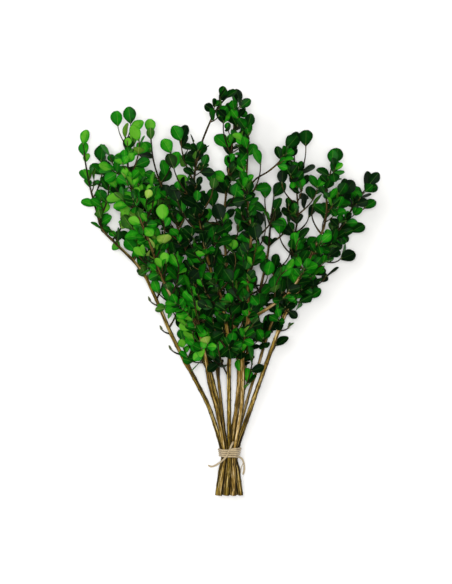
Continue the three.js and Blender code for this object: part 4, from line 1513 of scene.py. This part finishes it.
@dataclass(frozen=True)
class Envelope:
    """Where leaves that only the scene has may lie, seen from above, in millimetres.

    They keep between the outer stems, and out of the clearings that show the surface between the
    branches: ellipses given as middle X, middle Y, half width and half height.
    """

    left: tuple = (
        (-170, 452), (-168, 386), (-160, 340), (-146, 298), (-110, 258), (-86, 216), (-68, 172),
        (-50, 120),
    )
    right: tuple = (
        (172, 452), (168, 340), (146, 312), (136, 286), (128, 262), (116, 240), (84, 206), (72, 184),
        (40, 120),
    )
    clearings: tuple = (
        (-69, 373, 13, 24), (-30, 406, 12, 15), (-12, 389, 9, 21), (33, 380, 11, 24),
        (47, 342, 18, 17), (92, 309, 17, 19), (46, 286, 14, 11), (-10, 326, 8, 8), (37, 246, 7, 11),
        (92, 378, 11, 11), (-126, 392, 9, 12), (62, 266, 6, 8), (-94, 322, 2, 4), (-122, 310, 5, 4),
        (-114, 288, 3, 3), (-95, 294, 2, 3), (-54, 298, 2, 4), (-62, 274, 3, 2), (-70, 240, 3, 4),
        (-76, 224, 3, 3),
    )

    def allows(self, places: np.ndarray) -> np.ndarray:
        """Tells which outlines keep to it, for an array of outlines by places."""
        x, y = places[..., 0], places[..., 1]
        edges = [np.array(edge[::-1], float) for edge in (self.left, self.right)]
        low, high = (np.interp(y, edge[:, 1], edge[:, 0]) for edge in edges)
        inside = ((x > low) & (x < high)).all(axis=-1)
        for middle_x, middle_y, half_width, half_height in self.clearings:
            away = ((x - middle_x) / half_width) ** 2 + ((y - middle_y) / half_height) ** 2
            inside &= (away > 1).all(axis=-1)
        return inside


@dataclass(frozen=True)
class SprigRule:
    """Where short sprigs leave the stems and twigs, in millimetres and shares.

    Most turn up from the surface, towards the light, and they fork to both sides in turn. The lean
    sideways and the rise are each a least value and what a draw adds to it. A rule that is only_on
    some branches leaves out their twigs too.
    """

    envelope: Envelope = Envelope()
    spacing: float = 16.0
    first: float = 4.0
    last: float = 22.0
    reach: tuple = (12.0, 24.0)
    spread: tuple = (0.35, 1.0)
    lean: tuple = (0.3, 0.9)
    rise: tuple = (-0.25, 1.25)
    bare: float = 4.0
    only_on: tuple = ()
    first_salt: int = 81
    habit: Habit = SPRIG_HABIT
    base_radius: float = 0.8
    tip_radius: float = 0.5
    free_from: float = 5.5
    clear_of_wood: float = 1.9
    clear_of_leaf: float = 1.2
    lowest: float = 3.0
    box_low: tuple = (-168.0, 60.0, 2.0)
    box_high: tuple = (170.0, 452.0, 121.0)

    def grow(self, parent: Shoot, branch_key: int, shoot_key: int) -> list[Shoot]:
        """Lists the sprigs that one shoot could bear.

        Args:
            parent: the shoot.
            branch_key: the branch's place in the bunch, for the draws.
            shoot_key: the shoot's place in the branch, for the draws.

        Returns:
            The sprigs.
        """
        length = parent.curve.length
        start = parent.leafy_from + self.first
        if not math.isfinite(start) or (self.only_on and not parent.is_stem):
            return []
        made = []
        for i in range(int(max(0.0, length - start - self.last) / self.spacing) + 1):
            chance = [draw(branch_key, shoot_key, i, self.first_salt + k) for k in range(6)]
            along = start + self.spacing * (i + 0.7 * (chance[0] - 0.5))
            if not 0 < along < length - self.last:
                continue
            share = along / length
            place, ahead = parent.curve.at(share)[0], parent.curve.heading(share)[0]
            side = unit(np.cross(ahead, UP))
            lean = (1 if i % 2 else -1) * (self.lean[0] + self.lean[1] * chance[1])
            rise = self.rise[0] + self.rise[1] * chance[2]
            outward = unit(side * lean + np.cross(side, ahead) * rise)
            reach = self.reach[0] + (self.reach[1] - self.reach[0]) * chance[3]
            spread = self.spread[0] + (self.spread[1] - self.spread[0]) * chance[4]
            tip = place + reach * unit(ahead + spread * outward)
            if (tip < self.box_low).any() or (tip > self.box_high).any():
                continue
            made.append(self.sprig(parent, share, tip, self.habit))
        return made

    def sprig(self, parent: Shoot, share: float, tip: Sequence[float], habit: Habit) -> Shoot:
        """Makes a sprig from its place on the parent, as a share of the length, and its tip."""
        radii = (self.base_radius, self.tip_radius)
        return side_shoot(parent, share, tip, self.bare, radii, 1.0, habit)

    def fits(self, sprig: Shoot, wood: np.ndarray, leaves: np.ndarray) -> bool:
        """Tells whether a sprig stands clear of other wood and of leaves, past its own root.

        Args:
            sprig: the sprig.
            wood: rows of place and radius of the wood.
            leaves: places on the leaves.

        Returns:
            Whether it has room.
        """
        share = np.linspace(0, 1, max(4, int(sprig.curve.length / 2)))
        places = sprig.curve.at(share)[share * sprig.curve.length > self.free_from]
        if not len(places):
            return False
        if places[:, 2].min() < self.lowest or not self.envelope.allows(places):
            return False
        gaps = np.linalg.norm(places[:, None] - wood[:, :3], axis=2) - wood[:, 3]
        if gaps.min() < self.clear_of_wood:
            return False
        if not len(leaves):
            return True
        return np.linalg.norm(places[:, None] - leaves, axis=2).min() > self.clear_of_leaf


# The highest leaves of four stems stand on short sprigs close to the stems' own tips: each is
# [Y where it leaves the stem, [its tip]].
TIP_SPRIGS = {
    "branch_left_outer": [[368, [-161, 390, 42]]],
    "branch_left_inner": [[386, [-121, 408, 87]], [390, [-107, 411, 88]]],
    "branch_centre": [[424, [13, 434, 80]], [398, [20, 407, 80]]],
    "branch_right_outer": [[332, [155, 346, 53]]],
}
SPRIGS = SprigRule()
COVER_SPRIGS = SprigRule(
    spacing=5.0, first=-16.0, last=10.0, reach=(8.0, 15.0), spread=(0.8, 1.7), lean=(0.0, 0.65),
    rise=(0.75, 0.5), bare=2.0, base_radius=0.65, free_from=6.0, clear_of_wood=0.6,
    clear_of_leaf=0.6, first_salt=181, habit=COVER_HABIT,
    only_on=(
        "branch_left_inner", "branch_left_slim", "branch_centre_left", "branch_centre",
        "branch_centre_right", "branch_right_slim", "branch_right_outer",
    ),
)


@dataclass(frozen=True)
class ToneRule:
    """Where a leaf lies on the colour ramp: its branch's own place, and what is added to it.

    The tone rises at a shoot's tip, and with height above the surface as painted light and shade, so
    that leaves deep in the heap are darker; it falls from pair to pair below the tip, near the branch's
    top where the plan says so, and low on the branch. A draw spreads it, and some leaves are far
    brighter or darker than their branch.
    """

    bright_spread: float = 0.4
    dull_spread: float = 0.52
    first_pair: float = 0.09
    each_pair: float = 0.012
    painted_light_per_mm_up: float = 0.0013
    mid_height: float = 55.0
    far_brighter: tuple = (0.9, 0.24)
    far_darker: tuple = (0.08, 0.2)
    top: tuple = (290.0, 360.0)
    low: tuple = (135.0, 170.0)
    low_shade: float = 0.16
    tip_sprig: tuple = (0.06, 0.3)
    stub: tuple = (0.16, 0.2)
    limits: tuple = (0.02, 0.98)

    def tint(self, plan: BranchPlan, blades: Blades) -> np.ndarray:
        """Gives each leaf its tone, its age and a draw of its own.

        Args:
            plan: the branch that they grow on.
            blades: the leaves.

        Returns:
            One row for each leaf.
        """
        own, one, two, odd, age = (
            np.array([draw(*key, salt) for key in blades.keys]) for salt in range(21, 26)
        )
        spread = one + two - 1
        branch, pair = plan.green.value, blades.keys[:, 2]
        tone = branch + (self.bright_spread if plan.green is Green.BRIGHT else self.dull_spread) * spread
        tone += self.first_pair * (pair == 0) - self.each_pair * (pair % BETWEEN_HABIT.first_key)
        # Painted light and shade: leaves higher above the surface are lighter, those deep in the heap
        # darker.
        tone += self.painted_light_per_mm_up * (blades.root[:, 2] - self.mid_height)
        tone += self.far_brighter[1] * (odd > self.far_brighter[0])
        tone -= self.far_darker[1] * (odd < self.far_darker[0])
        on_tip = (pair >= TIP_HABIT.first_key) & (pair < BETWEEN_HABIT.first_key)
        tone[on_tip] = branch + self.tip_sprig[0] + self.tip_sprig[1] * spread[on_tip]
        tone -= plan.top_shade * smooth_step(*self.top, blades.root[:, 1])
        tone -= self.low_shade * (1 - smooth_step(*self.low, blades.root[:, 1]))
        on_stub = pair >= STUB_HABIT.first_key
        tone[on_stub] = self.stub[0] + self.stub[1] * spread[on_stub]
        return np.stack([np.clip(tone, *self.limits), age, own], axis=1)


@dataclass
class Branch:
    """One branch of the bunch: its wood with buds, and its leaves.

    A bud has its length and its width in millimetres, and a tip's bud its least length, what a draw
    adds to it, and its width.
    """

    plan: BranchPlan
    key: int
    wood_shape: WoodShape = WoodShape()
    bud_shape: BudShape = BudShape()
    leaf_shape: LeafShape = LeafShape()
    tones: ToneRule = ToneRule()
    stub_bud: tuple = (6.5, 2.7)
    tip_bud: tuple = (2.0, 1.6, 1.5)
    side_bud: tuple = (2.2, 1.1)
    leaves_per_bud: int = 3
    shoots: list = field(init=False)
    blades: Blades = field(init=False)

    def __post_init__(self) -> None:
        """Grows the shoots and every leaf that they could bear."""
        self.shoots = shoots_of(self.plan)
        numbered = list(enumerate(self.shoots))
        grown = [blades_on(s, self.key, k, h) for k, s in numbered for h in (PLAIN_HABIT, BETWEEN_HABIT)]
        for k, shoot in numbered:
            if not math.isfinite(shoot.leafy_from):
                leafy = replace(shoot, leafy_from=shoot.curve.length - 2.0)
                grown.append(blades_on(leafy, self.key, k, STUB_HABIT))
        self.blades = joined([blades for blades in grown if blades is not None])

    def in_solid(self) -> np.ndarray:
        """Tells which leaves the CAD solid has: those whose two tip corners are among its places."""
        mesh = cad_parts[self.plan.name].data
        places = np.zeros(3 * len(mesh.vertices))
        mesh.vertices.foreach_get("co", places)
        places = places.reshape(-1, 3) / METRES_PER_MM + MIDDLE
        found = np.ones(len(self.blades), bool)
        for h in (-0.5, 0.5):
            tips = self.blades.points(np.ones(1), np.zeros(1), np.full(1, h * CAD_BLADE_THICKNESS))
            gaps = np.linalg.norm(tips - places, axis=2).min(axis=1)
            found &= gaps < 0.05
        return found

    def wood_points(self) -> np.ndarray:
        """Lists places along all shoots with their radius."""
        return np.concatenate([places_along(shoot) for shoot in self.shoots])

    def add_sprigs(self, rule: SprigRule, wood: list, leaves: np.ndarray) -> None:
        """Grows the sprigs that have room, with the leaves that they could bear.

        Args:
            rule: the sprigs' rule.
            wood: all wood so far as arrays of place and radius, to which this adds its own.
            leaves: places on the leaves of the solids.
        """
        if rule.only_on and self.plan.name not in rule.only_on:
            return
        found = []
        for k, shoot in enumerate([shoot for shoot in self.shoots if shoot.habit is PLAIN_HABIT]):
            found += rule.grow(shoot, self.key, k)
        stem = self.shoots[0]
        at_tips = [] if rule.only_on else TIP_SPRIGS.get(self.plan.name, [])
        first = [rule.sprig(stem, stem.curve.share_at_y(y), tip, TIP_HABIT) for y, tip in at_tips]
        grown = []
        for sprig in first + found:
            if sprig.habit is TIP_HABIT or rule.fits(sprig, np.concatenate(wood), leaves):
                wood.append(places_along(sprig))
                self.shoots.append(sprig)
                made = blades_on(sprig, self.key, len(self.shoots) - 1, sprig.habit)
                if made is not None:
                    grown.append(made)
        if grown:
            self.blades = joined([self.blades, *grown])

    def keep(self, chosen: np.ndarray) -> None:
        """Keeps the chosen leaves, and drops the shoots that then bear fewer than their habit's least."""
        self.blades = self.blades.take(chosen)
        bearing = np.bincount(self.blades.keys[:, 1], minlength=len(self.shoots))
        stays = bearing >= np.array([shoot.habit.least_leaves for shoot in self.shoots])
        self.blades = self.blades.take(stays[self.blades.keys[:, 1]])
        self.shoots = [shoot for shoot, stay in zip(self.shoots, stays) if stay]

    def buds(self) -> list[Surface]:
        """Draws a bud at the tip of every shoot and in the corner of every third leaf."""
        made = []
        for k, shoot in enumerate(self.shoots):
            tip, heading = shoot.curve.at(1)[0], shoot.curve.heading(1)[0]
            if math.isfinite(shoot.leafy_from):
                least, more, width = self.tip_bud
                size = least + more * draw(self.key, k, 31)
            else:
                size, width = self.stub_bud
            made.append(self.bud_shape.surface(tip - (0.35 * size) * heading, heading, size, width))
        blades = self.blades
        for i in range(0, len(blades), self.leaves_per_bud):
            heading = unit(blades.direction[i] + 0.8 * blades.face[i])
            root = blades.root[i] + 0.6 * heading
            made.append(self.bud_shape.surface(root, heading, *self.side_bud))
        return made

    def build(self, materials: dict[str, bpy.types.Material]) -> None:
        """Makes the wood and leaf pieces, which stand for the branch's CAD node."""
        names = self.plan.name
        bark = [self.wood_shape.surface(shoot, (self.key, k)) for k, shoot in enumerate(self.shoots)]
        blades = self.leaf_shape.surface(self.blades, self.tones.tint(self.plan, self.blades))
        finishes = [materials[part] for part in ("bark", "end", "bud")]
        wood = piece(f"{names}_wood", fused(bark + self.buds()), finishes)
        finishes = [materials[part] for part in ("upper", "lower")]
        leaves = piece(f"{names}_leaves", blades, finishes, sharp="leaf_place")
        for made in (wood, leaves):
            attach(made, "root")
            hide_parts(names)
        LOG.info("%s: %d leaves on %d shoots", names, len(self.blades), len(self.shoots))


@dataclass
class TwineTie:
    """The twine: turns round the stems, a strand that crosses them, two tails and a short end.

    Lengths are in millimetres. A ply is a round of ply_radius, set ply_offset off the twine's
    middle, both as shares of the twine's radius, and its grooves are groove_depth deep.
    """

    stems: list
    radius: float = 0.95
    fullness: float = 1.12
    ply_radius: float = 0.54
    ply_offset: float = 0.46
    groove_depth: float = 0.41
    gap: float = 0.65
    middle_y: float = 48.0
    turns: float = 4.25
    pitch: float = 2.25
    steps_per_turn: int = 10
    start: float = -0.4
    lay: float = 6.5
    sides: int = 18
    step: float = 0.7
    fibre_radius: float = 0.055
    fibre_length: tuple = (0.8, 1.3)
    fibre_counts: tuple = (90, 26, 12)
    right_tail: tuple = (
        (15.6, 22.6, 3.2), (16.8, 27, 3.4), (17, 32, 4.2), (16.2, 36.6, 5.8), (14.6, 40.4, 8.4),
    )
    left_tail: tuple = (
        (1.4, 51.4, 23.5), (-1.4, 46.8, 23.4), (-4.2, 42.4, 22.8), (-8, 38.8, 20.6),
        (-12, 35.6, 17.2), (-16, 33.2, 14.2), (-20, 32.2, 12.2), (-23.4, 33.6, 11.4),
    )
    loose_ply: tuple = ((16.4, 37, 5.2), (14.7, 33.2, 4.4), (13.5, 29.6, 3.4), (12.8, 23.4, 2.2))
    short_end: tuple = ((-1.2, 47.6, 24.2), (0.8, 52, 24.3), (2.8, 56.4, 24), (5, 60.6, 24.2))

    def turns_route(self) -> list:
        """Gives the tight turns: for each direction they lie against the stem furthest that way."""
        places = []
        for i in range(round(self.turns * self.steps_per_turn) + 1):
            turned = i / self.steps_per_turn
            angle = self.start + 2 * math.pi * turned
            out = np.array([math.cos(angle), 0, math.sin(angle)])
            y = self.middle_y + self.pitch * (turned - 0.5 * self.turns)
            at_y = [(stem, stem.curve.share_at_y(y)) for stem in self.stems]
            centres = np.array([stem.curve.at(share)[0] for stem, share in at_y])
            radii = np.array([stem.radius_at(share) for stem, share in at_y])
            far = int(np.argmax(centres @ out + radii))
            places.append(centres[far] + out * (radii[far] + self.gap + self.radius))
        return places

    def cord(self, points: Sequence, key: int, thin: float = 1.0) -> Surface:
        """Draws a stretch of twine: three twisted plies, whose outline is one round after another.

        The outline is offset cos a + sqrt(ply^2 - (offset sin a)^2), with a the angle off the
        nearest ply's middle. It swells and shrinks a little along the twine, and tapers at its ends.

        Args:
            points: the route.
            key: the stretch's key, for the draws.
            thin: its radius as a share of the twine's.

        Returns:
            The surface with its twine values: turn, along, and how deep in a groove.
        """
        curve = Spline(points, weighed=True)
        share = np.linspace(0, 1, max(8, int(curve.length / self.step)))
        centres, tangent = curve.at(share), curve.heading(share)
        # Frames that don't turn about the cord: each is the last one, made square to the cord.
        side = np.zeros_like(tangent)
        last = unit(np.cross(tangent[0], UP + np.array([0.1, 0.3, 0])))
        for i, ahead in enumerate(tangent):
            last = unit(last - ahead * float(last @ ahead))
            side[i] = last
        up = np.cross(side, tangent)
        along = share * curve.length
        angles = 2 * math.pi * np.arange(self.sides) / self.sides
        turn = angles - 2 * math.pi * along[:, None] / self.lay + key
        off = (turn + math.pi / 3) % (2 * math.pi / 3) - math.pi / 3
        across = self.ply_offset * np.sin(off)
        profile = self.ply_offset * np.cos(off) + np.sqrt(self.ply_radius**2 - across**2)
        loose = 1 + 0.05 * np.sin(along[:, None] / 2.3 + key) + 0.04 * np.sin(along[:, None] / 0.9 + turn)
        ends = np.minimum(1, 0.55 + np.minimum(along, curve.length - along) / 3)[:, None]
        radii = thin * self.fullness * self.radius * profile * loose * ends
        made = tube(centres, (side, up), radii)
        parts = (off, np.broadcast_to(along[:, None], off.shape), (1 - profile) / self.groove_depth)
        values = np.stack(parts, axis=-1).reshape(-1, 3)
        caps = np.zeros((len(made.places) - len(values), 3))
        made.values["twine_place"] = np.concatenate([values, caps])
        return made

    def fibres(self, points: Sequence, key: int, count: int) -> list[Surface]:
        """Draws loose fibres that stand off a stretch of twine, each a thin bent thread.

        Args:
            points: the stretch's route.
            key: the stretch's key, for the draws.
            count: how many fibres.

        Returns:
            Their surfaces.
        """
        curve = Spline(points, weighed=True)
        made = []
        for i in range(count):
            share = draw(key, i, 61)
            place, ahead = curve.at(share)[0], curve.heading(share)[0]
            angle = 2 * math.pi * draw(key, i, 62)
            side = unit(np.cross(ahead, UP + np.array([0.1, 0.3, 0])))
            out = side * math.cos(angle) + np.cross(side, ahead) * math.sin(angle)
            lean = ahead * (2 * draw(key, i, 63) - 1) * 1.4
            length = self.fibre_length[0] + self.fibre_length[1] * draw(key, i, 64)
            x = np.linspace(0, 1, 4)[:, None]
            centres = place + out * (0.6 + x * length) * self.radius + lean * x * x * length
            centres[:, 2] = np.maximum(centres[:, 2], 0.1)
            tangent = unit(np.gradient(centres, axis=0))
            across = unit(np.cross(tangent, out + 0.3 * ahead))
            radii = np.repeat(self.fibre_radius * (1 - 0.6 * x), 3, axis=1)
            thread = tube(centres, (across, np.cross(across, tangent)), radii)
            thread.values["twine_place"] = np.zeros((len(thread.places), 3))
            made.append(thread)
        return made

    def build(self, material: bpy.types.Material) -> None:
        """Makes the twine piece, which stands for its CAD node."""
        turns = self.turns_route()
        routes = [[*self.right_tail, *turns], [turns[-1], *self.left_tail], list(self.short_end)]
        parts = [self.cord(route, key) for key, route in enumerate(routes)]
        parts.append(self.cord(self.loose_ply, 5, thin=0.42))
        for key, (route, count) in enumerate(zip(routes, self.fibre_counts)):
            parts += self.fibres(route, key + 7, count)
        made = piece("twine_tie_plies", fused(parts), [material])
        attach(made, "root")
        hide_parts("twine_tie")


@dataclass
class Studio:
    """A pale floor, soft lights and the camera that looks down on the bunch.

    Lengths are in metres, and the lens and its sensor in millimetres. The camera looks straight
    down, and its picture is picture_height high at focus_height. A light has its name, its place,
    its width and its watts.
    """

    lens: float = 180.0
    sensor: float = 36.0
    picture_height: float = 0.6424
    middle: tuple = (-0.0019, 0.0012)
    focus_height: float = 0.052
    clip: tuple = (0.05, 20.0)
    half_floor: float = 6.0
    floor_drop: float = 0.0004
    lit_height: float = 0.05
    lights: tuple = (
        ("key", (-0.6, 0.5, 1.8), 1.2, 21.0),
        ("overhead", (-0.02, 0.02, 3.9), 0.6, 98.0),
        ("fill", (1.3, -0.4, 1.6), 1.6, 6.0),
        ("front", (0.0, -1.6, 1.1), 1.4, 5.0),
    )
    world_strength: float = 0.1

    def build(self, floor: bpy.types.Material) -> None:
        """Makes the camera, the floor and the lights."""
        scene = bpy.context.scene
        camera = bpy.data.cameras.new("camera")
        camera.lens, camera.sensor_fit = self.lens, "VERTICAL"
        camera.sensor_width = camera.sensor_height = self.sensor
        camera.clip_start, camera.clip_end = self.clip
        seen_from = bpy.data.objects.new("camera", camera)
        distance = self.picture_height * self.lens / self.sensor
        seen_from.location = (*self.middle, self.focus_height + distance)
        scene.collection.objects.link(seen_from)
        scene.camera = seen_from
        mesh = bpy.data.meshes.new("floor")
        half = self.half_floor
        corners = [(-half, -half, 0), (half, -half, 0), (half, half, 0), (-half, half, 0)]
        mesh.from_pydata(corners, [], [(0, 1, 2, 3)])
        mesh.materials.append(floor)
        ground = bpy.data.objects.new("floor", mesh)
        ground.location.z = -self.floor_drop
        scene.collection.objects.link(ground)
        for name, place, size, watts in self.lights:
            self.light(name, place, size, watts)
        world = bpy.data.worlds.new("studio")
        world.use_nodes = True
        background = world.node_tree.nodes["Background"].inputs
        background[0].default_value, background[1].default_value = linear("#ffffff"), self.world_strength
        scene.world = world
        scene.view_settings.view_transform = "Standard"

    def light(self, name: str, place: tuple, size: float, watts: float) -> None:
        """Adds a soft square light that faces the bunch, with its place and size in metres."""
        lamp = bpy.data.lights.new(name, "AREA")
        lamp.shape, lamp.size, lamp.energy = "SQUARE", size, watts
        made = bpy.data.objects.new(name, lamp)
        made.location = place
        x, y, z = place[0], place[1], place[2] - self.lit_height
        made.rotation_mode = "XYZ"
        made.rotation_euler = (math.atan2(math.hypot(x, y), z), 0.0, math.atan2(y, x) + math.pi / 2)
        bpy.context.scene.collection.objects.link(made)


def main() -> None:
    """Builds the bunch and its studio in order."""
    logging.basicConfig(level=logging.INFO, format="%(name)s: %(message)s")
    materials = {
        "upper": UPPER_LEAF.material(),
        "lower": LOWER_LEAF.material(),
        "bark": BarkFinish().material(),
        "end": EndGrainFinish().material(),
        "bud": BudFinish().material(),
    }
    branches = [Branch(plan, key) for key, plan in enumerate(BRANCHES)]
    wood = [branch.wood_points() for branch in branches]
    before = joined([branch.blades for branch in branches])
    solid = np.concatenate([branch.in_solid() for branch in branches])
    fixed = Room(before.take(solid), wood[0]).samples.reshape(-1, 3)
    for rule in (COVER_SPRIGS, SPRIGS):
        for branch in branches:
            branch.add_sprigs(rule, wood, fixed)
    everything = joined([branch.blades for branch in branches])
    solid = np.concatenate([branch.in_solid() for branch in branches])
    room = Room(everything, np.concatenate(wood))
    kept = room.choose(solid, SPRIGS.envelope.allows(room.outlines))
    LOG.info("leaves: %d in the solids, %d kept of %d", solid.sum(), kept.sum(), len(kept))
    start = 0
    for branch in branches:
        count = len(branch.blades)
        branch.keep(kept[start : start + count])
        start += count
        branch.build(materials)
    TwineTie([branch.shoots[0] for branch in branches]).build(TwineFinish().material())
    Studio().build(FloorFinish().material())


if __name__ == "__main__":
    main()
